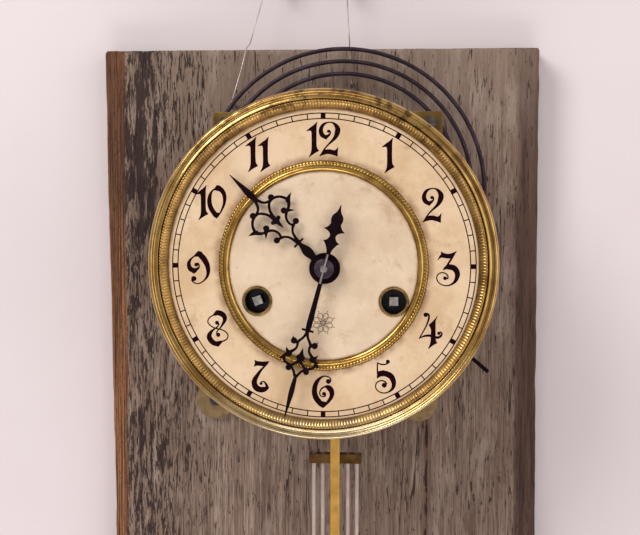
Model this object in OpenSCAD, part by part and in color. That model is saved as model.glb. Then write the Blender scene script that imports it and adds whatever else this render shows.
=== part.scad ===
// Striking wall-clock movement: dial, hands, two spring trains, coil gong and gridiron pendulum,
// carried on a plain board that hangs from a wire.
// +X is right, -Y is towards the viewer and +Z is up. The origin is on the back face of the board,
// straight behind the arbor of the hands.

/* [Board] */
// Width of the board
board_w = 254; // [200:1:320]
// Height of the board
board_h = 542; // [420:1:640]
// Thickness of the board
board_t = 22; // [12:1:30]
// How far the middle of the board lies right of the hand arbor
board_x = -10; // [-20:1:20]
// Height of the board's top edge above the hand arbor
board_top = 123; // [100:1:160]

/* [Movement] */
// Width of the brass plates
plate_w = 120; // [100:1:140]
// Top edge of the plates above the hand arbor
plate_top = 81; // [70:1:95]
// Bottom edge of the plates below the hand arbor
plate_low = 56; // [50:1:70]
// Thickness of a plate
plate_t = 2.5; // [1.5:0.1:4]
// Distance of a winding arbor from the middle
barrel_x = 35.4; // [30:0.1:40]
// Drop of the winding arbors below the hand arbor
barrel_z = 17.3; // [10:0.1:25]

/* [Dial] */
// Outer radius of the bezel
bezel_r = 90.8; // [80:0.1:100]
// Outer radius of the visible dial
dial_r = 80.3; // [70:0.1:90]
// Outer radius of the raised ring inside the numerals
inner_ring_r = 54.4; // [45:0.1:60]
// Radius of the centre disc
centre_r = 48.8; // [40:0.1:52]
// Bore radius of a winding hole
winding_hole_r = 6.3; // [5:0.1:8]

/* [Hands] */
// Length of the minute hand from its axis
minute_len = 80; // [60:0.5:84]
// Length of the hour hand from its axis
hour_len = 68.5; // [45:0.5:74]
// Direction of the minute hand, clockwise from twelve
minute_dir = 194.9; // [0:0.1:360]
// Direction of the hour hand, clockwise from twelve
hour_dir = 314.4; // [0:0.1:360]

/* [Gong] */
// Radius of the gong's outer turn
gong_r = 81.5; // [60:0.5:90]
// Distance from turn to turn
gong_pitch = 7.1; // [5:0.1:9]
// Radius of the gong wire
gong_wire_r = 1.2; // [0.8:0.1:2]

/* [Pendulum] */
// Height of the pendulum's pivot above the hand arbor
pivot_z = 62.2; // [50:0.1:75]
// Depth of the bob's centre below the hand arbor
bob_z = 330; // [250:1:380]
// Radius of the bob
bob_r = 48; // [30:1:60]

/* [Hidden] */

// Facets of a round part: plain, small and large
$fn = 48;
fine = 96;
rough = 24;

// Depths in front of the wall, negative towards the viewer
board_front = -board_t;
gong_y = -37;
back_y = -63.5;
front_y = -110;
inside_back = back_y - plate_t;
plate_front = front_y - plate_t;
dial_back = -124.8;
dial_face = -126;
hour_hand_y = -129.4;
minute_hand_y = -132.6;
arbor_tip_y = -138.5;

// Small gaps
running = 0.05;
beside = 0.3;

// Places seen from the front, as [right, up]
middle = [0, 0];
// The printed dial and the bezel sit a little off the arbor
dial_at = [-1.1, 1];
bezel_at = [-1.5, 1.5];
// Inner radius of the bezel, and the bore of the dial around the hour pipe
bezel_in = 85.2;
dial_bore_r = 6;
going_at = [barrel_x, -barrel_z];
strike_at = [-barrel_x, -barrel_z];

// Modules of the gears
barrel_m = 0.72;
intermediate_m = 0.72;
centre_m = 0.55;
third_m = 0.5;
second_m = 0.7;
strike_m = 0.5;
cannon_m = 0.6;
hour_m = 0.576;

// Teeth
barrel_teeth = 80;
barrel_pinion = 10;
intermediate_teeth = 60;
centre_pinion = 10;
centre_teeth = 80;
small_pinion = 8;
third_teeth = 64;
escape_teeth = 36;
cannon_teeth = 12;
minute_teeth = 36;
minute_pinion = 10;
hour_teeth = 40;
second_teeth = 56;
pin_teeth = 60;
warning_teeth = 48;
ratchet_teeth = 24;

function centres(a, b, m) = (a + b) * m / 2;
function polar(r, a) = [r * cos(a), r * sin(a)];
function heading(from, to) = atan2(to[1] - from[1], to[0] - from[0]);

// The corner of a triangle on a and b, with sides ra and rb, on the left of the way from a to b
function corner(a, b, ra, rb) =
    let (d = norm(b - a), along = (ra * ra - rb * rb + d * d) / (2 * d))
    a + polar(ra, heading(a, b) + acos(along / ra));

// Arbor places, each a whole gear distance from the one before
intermediate_at = corner(middle, going_at, centres(intermediate_teeth, centre_pinion, intermediate_m),
    centres(barrel_teeth, barrel_pinion, barrel_m));
third_at = [0, centres(centre_teeth, small_pinion, centre_m)];
escape_at = third_at + [0, centres(third_teeth, small_pinion, third_m)];
pallet_at = [0, pivot_z];
second_at = strike_at + polar(centres(barrel_teeth, barrel_pinion, barrel_m), 82);
pin_at = second_at + polar(centres(second_teeth, small_pinion, second_m), 98);
warning_at = pin_at + polar(centres(pin_teeth, small_pinion, strike_m), 145);
fly_at = warning_at + polar(centres(warning_teeth, small_pinion, strike_m), 60);
minute_at = polar(centres(cannon_teeth, minute_teeth, cannon_m), 225);
hammer_at = [-52, 24];
gong_at = [3.5, 39.5];

// Arbor sizes
arbor_r = 1.3;
pivot_r = 0.8;

// Depths of the wheels, each the back of its rim
centre_wheel_y = -67.6;
great_wheel_y = -72.5;
drum_y = -75;
drum_end = -99;
third_wheel_y = -84;
escape_wheel_y = -94;
front_wheel_y = -103.5;
pin_wheel_y = -71;
warning_wheel_y = -77;

// ---- shared shapes ----

// An outline drawn from the front, made thick towards the viewer
module plate(y_back, thick) {
    translate([0, y_back, 0])
        rotate([90, 0, 0])
            linear_extrude(thick)
                children();
}

// A round bar that runs from back to front
module bar(at, r, y_back, y_front) {
    translate([at[0], y_back, at[1]])
        rotate([90, 0, 0])
            cylinder(r = r, h = y_back - y_front);
}

// A turned shape on an axis from back to front: the outline is [radius, depth]
module turned(at) {
    translate([at[0], 0, at[1]])
        rotate([90, 0, 0])
            rotate_extrude()
                children();
}

function arc(r, a0, a1, n) = [for (k = [0 : n]) polar(r, a0 + (a1 - a0) * k / n)];
function moved(points, by) = [for (p = points) p + by];
function turn_to(p, a) = [p[0] * cos(a) - p[1] * sin(a), p[0] * sin(a) + p[1] * cos(a)];

// Gear teeth: each row is [radius over the pitch radius in modules, half width in tooth pitches]
wheel_tooth = [[-1.15, 0.24], [0, 0.2], [0.85, 0.09]];
pinion_tooth = [[-1.35, 0.13], [0, 0.165], [0.65, 0.08]];

function gear_points(teeth, m, tooth, phase) = [
    for (k = [0 : teeth - 1])
        for (s = [-1, 1])
            for (i = s < 0 ? [0, 1, 2] : [2, 1, 0])
                polar(teeth * m / 2 + tooth[i][0] * m, phase + (k + s * tooth[i][1]) * 360 / teeth)
];

// The phase that puts a gap of the follower where a tooth of the leader comes
function meshed(from, to, lead_teeth, teeth) =
    let (way = heading(from, to))
    way + 180 + way * lead_teeth / teeth - 180 / teeth;

module wheel_outline(teeth, m, hub_r, spokes, spoke_w, bore_r, phase = 0) {
    rim_r = teeth * m / 2 - 2.9 * m;
    difference() {
        polygon(gear_points(teeth, m, wheel_tooth, phase));
        if (bore_r > 0)
            circle(r = bore_r);
        for (k = [0 : spokes - 1])
            rotate(k * 360 / spokes)
                polygon(window(hub_r, rim_r, 360 / spokes, spoke_w));
    }
}

// The opening between two spokes
function window(r0, r1, span, spoke_w) =
    let (in_cut = asin(spoke_w / 2 / r0), out_cut = asin(spoke_w / 2 / r1))
    concat(arc(r0, in_cut, span - in_cut, 4), arc(r1, span - out_cut, out_cut, 8));

// A steel arbor between the plates, with a cut pinion and thinner pivots
module arbor(at, pinion_y, pinion_len, teeth, m, phase) {
    color("#b7b9be") {
        bar(at, arbor_r, inside_back - beside, front_y + beside);
        bar(at, pivot_r, back_y, plate_front);
        translate([at[0], 0, at[1]])
            plate(pinion_y, pinion_len)
                polygon(gear_points(teeth, m, pinion_tooth, phase));
    }
}

// A brass wheel with its hub, which fills the middle unless it has a bore
module wheel(at, y_back, thick, teeth, m, hub_r = 3.6, spokes = 5, spoke_w = 2.2, bore_r = 0) {
    color("#c8a55a")
        translate([at[0], 0, at[1]])
            plate(y_back, thick)
                wheel_outline(teeth, m, hub_r, spokes, spoke_w, bore_r);
}

// A domed slotted screw head with its shank, facing the viewer
module screw(at, y_head, head_r, head_h, shank_r, shank_end) {
    difference() {
        union() {
            bar(at, shank_r, shank_end, y_head);
            bar(at, head_r, y_head, y_head - head_h);
        }
        translate([at[0] - head_r - 1, y_head - head_h - 1, at[1] - head_r * 0.12])
            cube([2 * head_r + 2, 1 + head_h * 0.45, head_r * 0.24]);
    }
}

// ---- board and hanging ----

wire_r = 0.35;
eye_left_at = [-62, 90];
eye_right_at = [8, 102];
studs_on_wall = [[-39.2, 166], [0.9, 166]];
stud_r = 2.2;
eye_y = board_front - 6;
eye_r = 2.6;

module backboard() {
    color("#8b8378")
        difference() {
            translate([board_x - board_w / 2, -board_t, board_top - board_h])
                cube([board_w, board_t, board_h]);
            for (p = bracket_screws_at(-1))
                bar(p, 1.6, -8, board_front - 1);
            for (p = bracket_screws_at(1))
                bar(p, 1.6, -8, board_front - 1);
            for (p = [eye_left_at, eye_right_at])
                bar(p, 1, -10, board_front - 1);
            bar(gong_at, 3, -8, board_front - 1);
        }
}

// A screw eye: a threaded stem with a ring turned flat to the viewer's left and right
module screw_eye(at) {
    color("#77706a") {
        bar(at, 1, -10, eye_y + eye_r);
        translate([at[0], eye_y, at[1]])
            rotate([0, 90, 0])
                rotate_extrude()
                    translate([eye_r, 0])
                        circle(r = 0.7, $fn = rough);
    }
}

module screw_eyes() {
    screw_eye(eye_left_at);
    screw_eye(eye_right_at);
}

// The wire's route: from the left eye over the board's edge, over both wall studs and down again
wire_route = [
    [-62, -28, 93.3], [-61, -27, 97], [-57, -24.2, 112], [-54.6, -23.5, 122.5], [-54, -21.5, 124.2],
    [-53, -18, 126], [-49.7, -16.9, 138], [-45.9, -15.6, 152], [-42.8, -14.7, 163], [-42, -14.5, 166.4],
    [-41.1, -14.4, 168.2], [-39.3, -14.4, 168.9], [-30, -14.4, 168.9], [-20, -14.4, 168.9],
    [-10, -14.4, 168.9],
    [1, -14.4, 168.9], [2.7, -14.4, 168.2], [3.6, -14.5, 166.4], [3.9, -14.7, 163], [4.6, -15.6, 152],
    [5.4, -16.9, 138], [6.2, -18, 126], [6.4, -21.5, 124.2], [6.5, -23.5, 122.5], [7.3, -25, 114],
    [8, -28, 105.3]
];
wire_sides = 8;

function unit(v) = v / norm(v);
function route_way(pts, i) = unit(pts[min(i + 1, len(pts) - 1)] - pts[max(i - 1, 0)]);
function ring_around(p, way, r) =
    let (side = unit(cross(way, [0, 1, 0.01])), up = cross(side, way))
    [for (k = [0 : wire_sides - 1])
        p + r * (cos(k * 360 / wire_sides) * side + sin(k * 360 / wire_sides) * up)];

module swept(pts, r) {
    n = len(pts);
    rings = [for (i = [0 : n - 1]) each ring_around(pts[i], route_way(pts, i), r)];
    sides = [
        for (i = [0 : n - 2])
            for (k = [0 : wire_sides - 1])
                let (a = i * wire_sides + k, b = i * wire_sides + (k + 1) % wire_sides)
                [a, b, b + wire_sides, a + wire_sides]
    ];
    first = [for (k = [wire_sides - 1 : -1 : 0]) k];
    last = [for (k = [0 : wire_sides - 1]) (n - 1) * wire_sides + k];
    polyhedron(rings, concat([first], sides, [last]));
}

module hanging_wire() {
    color("#8f8a84")
        swept(wire_route, wire_r);
}

module hanging_studs() {
    color("#a59a86")
        for (p = studs_on_wall) {
            bar(p, 4.6, 0, -1.5);
            bar(p, stud_r, -1.5, -17);
            bar(p, 3.8, -17, -18.4);
        }
}

// ---- brackets ----

// A bracket stands on the board: a round foot, a strap and two posts for the back plate
foot_r = 11.5;
foot_z = -85.2;
bracket_t = 4;
post_r = 4;
function foot_at(side) = [side < 0 ? -73.2 : 47.4, foot_z];
function low_post(side) = [side * 44, -50.5];
function high_post(side) = [side * 46, 60];
function bracket_screws_at(side) = [foot_at(side), [side * 48, 8]];

// The four corners of a strap from a to b
function strap(a, b, w) =
    let (n = polar(w / 2, heading(a, b) + 90))
    [a + n, b + n, b - n, a - n];

module bracket(side) {
    color("#d6b56a")
        difference() {
            union() {
                plate(board_front, bracket_t) {
                    translate(foot_at(side))
                        circle(r = foot_r);
                    polygon(strap(foot_at(side), low_post(side), 14));
                    translate(low_post(side))
                        circle(r = 7);
                    polygon(strap(low_post(side), high_post(side), 14));
                    translate(high_post(side))
                        circle(r = 7);
                }
                bar(low_post(side), post_r, board_front, back_y);
                bar(high_post(side), post_r, board_front, back_y);
            }
            for (p = bracket_screws_at(side))
                bar(p, 1.7, board_front + 1, board_front - bracket_t - 1);
            for (p = [low_post(side), high_post(side)])
                bar(p, 1.3, back_y + 9, back_y - 1);
        }
}

module brackets() {
    bracket(-1);
    bracket(1);
}

// The screws of the brackets and of the gong
module board_screws() {
    color("#4b4a4d") {
        screw(gong_at, gong_y - 3.5, 4.6, 2.4, 2.9, -9);
        for (side = [-1, 1]) {
            for (p = bracket_screws_at(side))
                screw(p, board_front - bracket_t, 3.4, 1.8, 1.6, -8);
            for (p = [low_post(side), high_post(side)])
                screw(p, inside_back, 2.6, 1.5, 1.25, back_y + 8);
        }
    }
}

// ---- gong ----

gong_turns = 3;
gong_low_x = gong_at[0] - gong_pitch / 2;
gong_low_r = gong_r - gong_pitch / 2;
gong_elbow = 4;
gong_tail = 62;
gong_inner_x = gong_low_x + gong_low_r - (gong_turns - 1) * gong_pitch;

// Part of a wire ring in the gong's plane, from angle a0 over the given span
module wire_arc(x, z, r, a0, span) {
    translate([x, gong_y, z])
        rotate([90, 0, 0])
            rotate([0, 0, a0])
                rotate_extrude(angle = span, $fn = fine)
                    translate([r, 0])
                        circle(r = gong_wire_r, $fn = rough);
}

module gong_coil() {
    color("#2c2f3d") {
        translate([0, 0, 2 * gong_at[1]])
            mirror([0, 0, 1])
                wire_arc(gong_low_x, gong_at[1], gong_low_r + gong_pitch, 0, gong_tail);
        for (k = [0 : gong_turns - 1]) {
            wire_arc(gong_at[0], gong_at[1], gong_r - k * gong_pitch, 0, 180);
            wire_arc(gong_low_x, gong_at[1], gong_low_r - k * gong_pitch, 180, 180);
        }
        wire_arc(gong_inner_x - gong_elbow, gong_at[1], gong_elbow, 0, 90);
        translate([gong_inner_x - gong_elbow, gong_y, gong_at[1] + gong_elbow])
            rotate([0, -90, 0])
                cylinder(r = gong_wire_r, h = gong_inner_x - gong_elbow - gong_at[0], $fn = rough);
    }
}

module gong_base() {
    color("#35363a")
        difference() {
            union() {
                bar(gong_at, 15, board_front, board_front - 5);
                bar(gong_at, 8, board_front - 5, gong_y + 3);
                translate([gong_at[0] - 6, gong_y - 3.5, gong_at[1] - 4])
                    cube([12, 7, 12]);
            }
            translate([gong_at[0], gong_y, gong_at[1] + gong_elbow])
                rotate([0, 90, 0])
                    cylinder(r = gong_wire_r, h = 20, $fn = rough);
            bar(gong_at, 3, board_front + 1, gong_y - 5);
        }
}

// ---- plates ----

pillar_x = 54;
pillar_up = 75;
pillar_down = -49.5;
pillars_at = [for (x = [-pillar_x, pillar_x], z = [pillar_down, pillar_up]) [x, z]];
train_at = [middle, intermediate_at, third_at, escape_at, second_at, pin_at, warning_at, fly_at];
barrel_pivot_r = 2.6;
pillar_r = 3.4;
cock_feet = [for (s = [-1, 1]) [s * 15, 66]];

module plate_blank() {
    difference() {
        translate([-plate_w / 2, -plate_low])
            square([plate_w, plate_low + plate_top]);
        for (p = train_at)
            translate(p)
                circle(r = (p == middle ? arbor_r + 0.5 : pivot_r) + running, $fn = rough);
        for (p = [going_at, strike_at])
            translate(p)
                circle(r = barrel_pivot_r + running, $fn = rough);
        translate(hammer_at)
            circle(r = arbor_r + running, $fn = rough);
        for (p = pillars_at)
            translate(p)
                circle(r = 1.5, $fn = rough);
    }
}

module back_plate() {
    color("#a58a52")
        plate(back_y, plate_t)
            difference() {
                plate_blank();
                translate(pallet_at)
                    circle(r = 5);
                for (side = [-1, 1])
                    for (p = [low_post(side), high_post(side)])
                        translate(p)
                            circle(r = 1.3, $fn = rough);
                for (p = cock_feet)
                    translate(p)
                        circle(r = 1.2, $fn = rough);
            }
}

feet_at = [[-38, 36], [38, 36], [8, -50]];
rack_at = [18, -22];
hook_at = [-22, -44];
lever_at = [52, -27];
studs_at = [rack_at, hook_at, lever_at];
click_dist = 14;
function click_at(side) = [side * barrel_x, -barrel_z] + polar(click_dist, side < 0 ? 118 : 62);

module front_plate() {
    color("#a58a52")
        plate(front_y, plate_t)
            difference() {
                plate_blank();
                translate(pallet_at)
                    circle(r = pivot_r + running, $fn = rough);
                for (p = feet_at)
                    translate(p)
                        circle(r = 1.2, $fn = rough);
                for (p = concat(studs_at, [click_at(-1), click_at(1)]))
                    translate(p)
                        circle(r = 1, $fn = rough);
                translate(minute_at)
                    circle(r = 1, $fn = rough);
            }
}

module pillars() {
    color("#b4975a")
        for (p = pillars_at)
            difference() {
                union() {
                    bar(p, pillar_r, inside_back, front_y);
                    bar(p, pillar_r + 1, inside_back, inside_back - 2.5);
                    bar(p, pillar_r + 1, front_y + 2.5, front_y);
                }
                bar(p, 1.5, inside_back + 1, front_y - 1);
            }
}

module movement_screws() {
    color("#4b4a4d") {
        for (p = cock_feet)
            screw(p, inside_back, 2.6, 1.2, 1.15, back_y + 3.5);
        for (p = pillars_at) {
            screw(p, plate_front, 3.2, 1.8, 1.45, front_y + 12);
            translate([0, 2 * back_y, 0])
                mirror([0, 1, 0])
                    screw(p, back_y, 3.2, 1.8, 1.45, back_y + 12);
        }
    }
}

// ---- barrels and winding ----

barrel_r = 26.8;
barrel_wall = 1.6;
square_w = 4.5;
square_end = -124.2;
winding_r = 3.4;

// The toothed drum and the lid that is pressed into its open end
module barrel(at) {
    color("#c8a55a") {
        difference() {
            union() {
                translate([at[0], 0, at[1]])
                    plate(great_wheel_y, 2.5)
                        polygon(gear_points(barrel_teeth, barrel_m, wheel_tooth, 0));
                bar(at, barrel_r, drum_y, drum_end);
            }
            bar(at, barrel_r - barrel_wall, drum_y - 0.5, drum_end - 1);
            bar(at, winding_r + running, great_wheel_y + 1, drum_y - 1);
        }
        difference() {
            bar(at, barrel_r - barrel_wall / 2, drum_end + 2, drum_end);
            bar(at, winding_r + running, drum_end + 3, drum_end - 1);
        }
    }
}

// A wound ribbon inside the barrel, made of half turns about two centres
spring_t = 0.8;
spring_step = 3;
spring_turns = 5;
module mainspring(at) {
    color("#6b7078")
        translate([at[0], 0, at[1]])
            plate(drum_y - 2, 18)
                for (k = [0 : spring_turns - 1]) {
                    half_ribbon(0, 22.5 - k * spring_step, 0);
                    half_ribbon(-spring_step / 2, 22.5 - (k + 0.5) * spring_step, 180);
                }
}

module half_ribbon(x, r, from) {
    translate([x, 0])
        rotate(from)
            polygon(concat(arc(r, 0, 180, 16), arc(r - spring_t, 180, 0, 16)));
}

ratchet_r = 9;
ratchet_t = 2;
ratchet_y = plate_front - 1;

// The arbor that the key turns, with its ratchet on the square
module winding_arbor(at, side, tilt) {
    color("#c9c9cc")
        union() {
            bar(at, winding_r, great_wheel_y + 3, front_y + beside);
            bar(at, barrel_pivot_r, back_y, ratchet_y);
            translate([at[0], 0, at[1]]) {
                rotate([0, -tilt, 0])
                    translate([-square_w / 2, square_end, -square_w / 2])
                        cube([square_w, plate_front - 0.5 - square_end, square_w]);
                plate(ratchet_y, ratchet_t)
                    polygon([
                        for (k = [0 : ratchet_teeth - 1])
                            for (p = [[ratchet_r - 1.2, 0], [ratchet_r, 0.9]])
                                polar(p[0], side * (k + p[1]) * 360 / ratchet_teeth)
                    ]);
            }
        }
}

// A click lies beside its ratchet with the nose in a gap
module click(at, side) {
    pivot = click_at(side);
    away = heading(at, pivot);
    color("#8f9197")
        difference() {
            union() {
                bar(pivot, 3, ratchet_y, ratchet_y - ratchet_t);
                plate(ratchet_y, ratchet_t)
                    polygon(strap(pivot, at + polar(ratchet_r + 2.2, away + side * 44), 2.6));
                plate(ratchet_y, ratchet_t)
                    polygon(strap(at + polar(ratchet_r + 2.8, away + side * 40),
                        at + polar(ratchet_r + 0.4, away + side * 52), 1.8));
            }
            bar(pivot, 1.2 + running, 0, arbor_tip_y);
        }
}

module click_spring(at, side) {
    pivot = click_at(side);
    away = heading(at, pivot);
    plate(ratchet_y, 1.2)
        polygon(concat(
            moved(arc(ratchet_r + 6.2, away + side * 17, away + side * 62, 8), at),
            moved(arc(ratchet_r + 5.6, away + side * 62, away + side * 17, 8), at)
        ));
    bar(at + polar(ratchet_r + 5.9, away + side * 62), 1.3, plate_front, ratchet_y - 1.8);
}

module click_springs() {
    color("#6b7078") {
        click_spring(going_at, 1);
        click_spring(strike_at, -1);
    }
}

module barrel_going() barrel(going_at);
module barrel_strike() barrel(strike_at);
module mainspring_going() mainspring(going_at);
module mainspring_strike() mainspring(strike_at);
module winding_arbor_going() winding_arbor(going_at, 1, 0);
module winding_arbor_strike() winding_arbor(strike_at, -1, 20);
module click_going() click(going_at, 1);
module click_strike() click(strike_at, -1);

// ---- going train ----

intermediate_phase = meshed(going_at, intermediate_at, barrel_teeth, barrel_pinion);
centre_phase = meshed(intermediate_at, middle, intermediate_teeth, centre_pinion);
third_phase = meshed(middle, third_at, centre_teeth, small_pinion);
escape_phase = meshed(third_at, escape_at, third_teeth, small_pinion);

module intermediate_wheel() {
    arbor(intermediate_at, great_wheel_y + 1.5, 5.5, barrel_pinion, barrel_m, intermediate_phase);
    wheel(intermediate_at, front_wheel_y, 1.6, intermediate_teeth, intermediate_m);
}

// The centre arbor carries the hands, so its front end is long, with a square and a pin hole
hand_square = 2.9;
module centre_arbor() {
    color("#b7b9be")
        difference() {
            union() {
                bar(middle, arbor_r + 0.5, back_y, minute_hand_y - 2.6);
                bar(middle, 2.8, centre_wheel_y + 1, centre_wheel_y);
                plate(front_wheel_y + 1.5, 4)
                    polygon(gear_points(centre_pinion, intermediate_m, pinion_tooth, centre_phase));
                translate([-hand_square / 2, arbor_tip_y, -hand_square / 2])
                    cube([hand_square, minute_hand_y - 2.6 - arbor_tip_y, hand_square]);
            }
            taper_pin_bar(0.55);
        }
}

module centre_wheel() {
    wheel(middle, centre_wheel_y, 1.4, centre_teeth, centre_m, 4.2, 5, 2.2, arbor_r + 0.5);
}

module third_wheel() {
    arbor(third_at, centre_wheel_y + 1, 4, small_pinion, centre_m, third_phase);
    wheel(third_at, third_wheel_y, 1.2, third_teeth, third_m);
}

// Pointed teeth that lean forwards, in the way the wheel turns
escape_r = 15;
escape_root_r = 12.4;
escape_step = 360 / escape_teeth;
escape_start = 90 - 42.5 + escape_step / 4;
module escape_wheel() {
    arbor(escape_at, third_wheel_y + 1.2, 4, small_pinion, third_m, escape_phase);
    color("#d0ae62")
        translate([escape_at[0], 0, escape_at[1]])
            plate(escape_wheel_y, 1.2)
                difference() {
                    polygon([
                        for (k = [0 : escape_teeth - 1])
                            for (p = [[escape_root_r, 0.62], [escape_root_r, 0.18], [escape_r, 0.04],
                                [escape_r, -0.04]])
                                polar(p[0], escape_start + (k - p[1]) * -escape_step)
                    ]);
                    for (k = [0 : 4])
                        rotate(k * 72)
                            polygon(window(3.6, escape_root_r - 1.4, 72, 1.6));
                }
}

// The anchor spans eight and a half teeth; its pallets just clear the wheel at mid swing
pallet_half = 42.5;
pallet_end_y = back_y + 5.2;
pallet_gap = 0.2;
module anchor() {
    color("#9a9ca3") {
        bar(pallet_at, pivot_r, pallet_end_y, plate_front);
        bar(pallet_at, arbor_r, cock_web_y - cock_web_t - beside, front_y + beside);
        plate(escape_wheel_y + 0.6, 2.4) {
            translate(pallet_at)
                circle(r = 3.4);
            for (s = [-1, 1])
                polygon([
                    pallet_at + [0, 3],
                    pallet_at + [s * 8.5, -0.6],
                    pallet_tip(s, 0.45, 3),
                    pallet_tip(s, 0.4, 0),
                    pallet_tip(s, -0.4, 0),
                    pallet_tip(s, -0.6, 3),
                    pallet_at + [s * 4, -2.6]
                ]);
        }
    }
}

// A point near a pallet: out along the wheel's rim, and up off the wheel
function pallet_tip(s, along, up) =
    let (a = 90 - s * pallet_half)
    escape_at + polar(escape_r + pallet_gap + up, a) + polar(s * along, a - 90);

crutch_y = back_y + 1.6;
crutch_t = 1;
crutch_low = 12;
strap_w = 5.4;
strap_t = 1.5;
pendulum_y = -53;
module crutch() {
    color("#9a9ca3")
        difference() {
            union() {
                plate(crutch_y, crutch_t) {
                    translate(pallet_at)
                        circle(r = 3);
                    polygon(strap(pallet_at - [0, 1], [0, crutch_low], 2.6));
                    polygon(strap([-4.4, crutch_low], [4.4, crutch_low], 2.4));
                }
                for (s = [-1, 1])
                    translate([s * (strap_w / 2 + 1) - 0.8, crutch_y - crutch_t, crutch_low - 1.2])
                        cube([1.6, pendulum_y + 3 - crutch_y + crutch_t, 2.4]);
            }
            bar(pallet_at, arbor_r, 0, -80);
        }
}

// ---- motion work ----

cannon_y = plate_front - 1.2;
cannon_pipe_r = 2.9;
hour_pipe_r = 4.1;
hour_wheel_y = plate_front - 6;
hour_phase = meshed(minute_at, middle, minute_pinion, hour_teeth);
cannon_phase = meshed(minute_at, middle, minute_teeth, cannon_teeth);

module cannon_pinion() {
    color("#b7b9be")
        difference() {
            union() {
                plate(cannon_y, 3)
                    polygon(gear_points(cannon_teeth, cannon_m, pinion_tooth, cannon_phase));
                bar(middle, cannon_pipe_r, cannon_y - 2, minute_hand_y);
            }
            bar(middle, arbor_r + 0.5, 0, arbor_tip_y);
        }
}

module minute_wheel() {
    color("#c8a55a")
        difference() {
            union() {
                wheel(minute_at, cannon_y - 0.5, 1.2, minute_teeth, cannon_m, 3.6, 4, 2);
                translate([minute_at[0], 0, minute_at[1]])
                    plate(cannon_y - 1.7, 4.8)
                        polygon(gear_points(minute_pinion, hour_m, pinion_tooth, 0));
            }
            bar(minute_at, 1 + running, 0, arbor_tip_y);
        }
}

module hour_wheel() {
    color("#c8a55a")
        difference() {
            union() {
                plate(hour_wheel_y, 1.2)
                    wheel_outline(hour_teeth, hour_m, 6, 4, 2, cannon_pipe_r + running, hour_phase);
                bar(middle, hour_pipe_r, hour_wheel_y, hour_hand_y - 0.6);
            }
            bar(middle, cannon_pipe_r + running, 0, arbor_tip_y);
        }
}

// Twelve steps, one for each hour, the tenth under the rack's tail at rest
rack_tail = [-5, -13.6];
snail_y = hour_wheel_y - 1.2;
snail_t = 1.4;
snail_r = 10.8;
snail_step = 0.45;
snail_start = heading(middle, rack_tail) - 9.5 * 30;
module snail() {
    color("#b9bbc0")
        plate(snail_y, snail_t)
            difference() {
                polygon([
                    for (k = [0 : 11])
                        for (a = [0, 15, 29.9])
                            polar(snail_r - k * snail_step, snail_start + k * 30 + a)
                ]);
                circle(r = hour_pipe_r);
            }
}

rack_y = plate_front - 7.4;
rack_t = 1.2;
rack_reach = 30;
rack_from = 203;
rack_to = 231;
rack_notches = 13;
module rack() {
    color("#9a9ca3")
        difference() {
            union() {
                plate(rack_y, rack_t) {
                    polygon(strap(rack_at, rack_tail, 3));
                    polygon(strap(rack_at, rack_at + polar(rack_reach - 3, 217), 3.4));
                    polygon(concat(
                        moved(arc(rack_reach - 4.4, rack_from, rack_to, 8), rack_at),
                        [for (k = [0 : rack_notches - 1], p = [[0, 0.1], [-1.3, 0.2]])
                            rack_at + polar(rack_reach + p[0],
                                rack_to - (rack_to - rack_from) * (k + p[1]) / rack_notches)]
                    ));
                }
                bar(rack_tail, 1.5, rack_y, rack_y - rack_t);
                bar(rack_at, 2.6, plate_front - 1, rack_y - rack_t);
            }
            bar(rack_at, 1.2 + running, 0, arbor_tip_y);
        }
}

hook_nose = [-7.2, -39.6];
module rack_hook() {
    color("#9a9ca3")
        difference() {
            union() {
                plate(rack_y, rack_t)
                    polygon(strap(hook_at, hook_nose, 2.4));
                bar(hook_at, 2.6, plate_front - 1, rack_y - rack_t);
            }
            bar(hook_at, 1.2 + running, 0, arbor_tip_y);
        }
}

// The lever's dark tail shows at the lower right of the dial
lever_y = plate_front - 1.4;
lever_tail_end = [84.5, -54.7];
lever_knee = [28, -37];
lever_foot = [6, -26];
tail_slope = (lever_at[1] - lever_tail_end[1]) / (lever_tail_end[0] - lever_at[0]);
module lifting_lever() {
    color("#26262b")
        difference() {
            union() {
                plate(lever_y, 1.6) {
                    polygon(strap(lever_at, lever_knee, 3));
                    polygon(strap(lever_knee, lever_foot, 3));
                    polygon(strap(lever_at, lever_at + 0.4 * (lever_tail_end - lever_at), 2.6));
                }
                for (p = [[lever_at, 3.6], [lever_knee, 1.5], [lever_foot, 1.5]])
                    bar(p[0], p[1], lever_y, lever_y - 1.6);
                translate([lever_at[0] + 6, lever_y - 0.8, lever_at[1] - 6 * tail_slope])
                    rotate([0, 90 + atan(tail_slope), 0])
                        cylinder(r = 1, h = norm(lever_tail_end - lever_at) - 8, $fn = rough);
            }
            bar(lever_at, 1.2 + running, 0, arbor_tip_y);
        }
}

// Each stud: its place, the front face of what turns on it and the radius that carries that
studs = [
    [rack_at, rack_y - rack_t, 1.2],
    [hook_at, rack_y - rack_t, 1.2],
    [lever_at, lever_y - 1.6, 1.2],
    [minute_at, cannon_y - 6.5, 1],
    [click_at(-1), ratchet_y - ratchet_t, 1.2],
    [click_at(1), ratchet_y - ratchet_t, 1.2]
];
module lever_studs() {
    color("#b7b9be")
        for (p = studs) {
            bar(p[0], 1, front_y, plate_front);
            bar(p[0], p[2], plate_front, p[1] - 0.1);
            bar(p[0], p[2] + 1, p[1] - 0.1, p[1] - 1);
        }
}

// ---- strike train ----

second_phase = meshed(strike_at, second_at, barrel_teeth, barrel_pinion);
pin_phase = meshed(second_at, pin_at, second_teeth, small_pinion);
warning_phase = meshed(pin_at, warning_at, pin_teeth, small_pinion);
fly_phase = meshed(warning_at, fly_at, warning_teeth, small_pinion);

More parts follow.
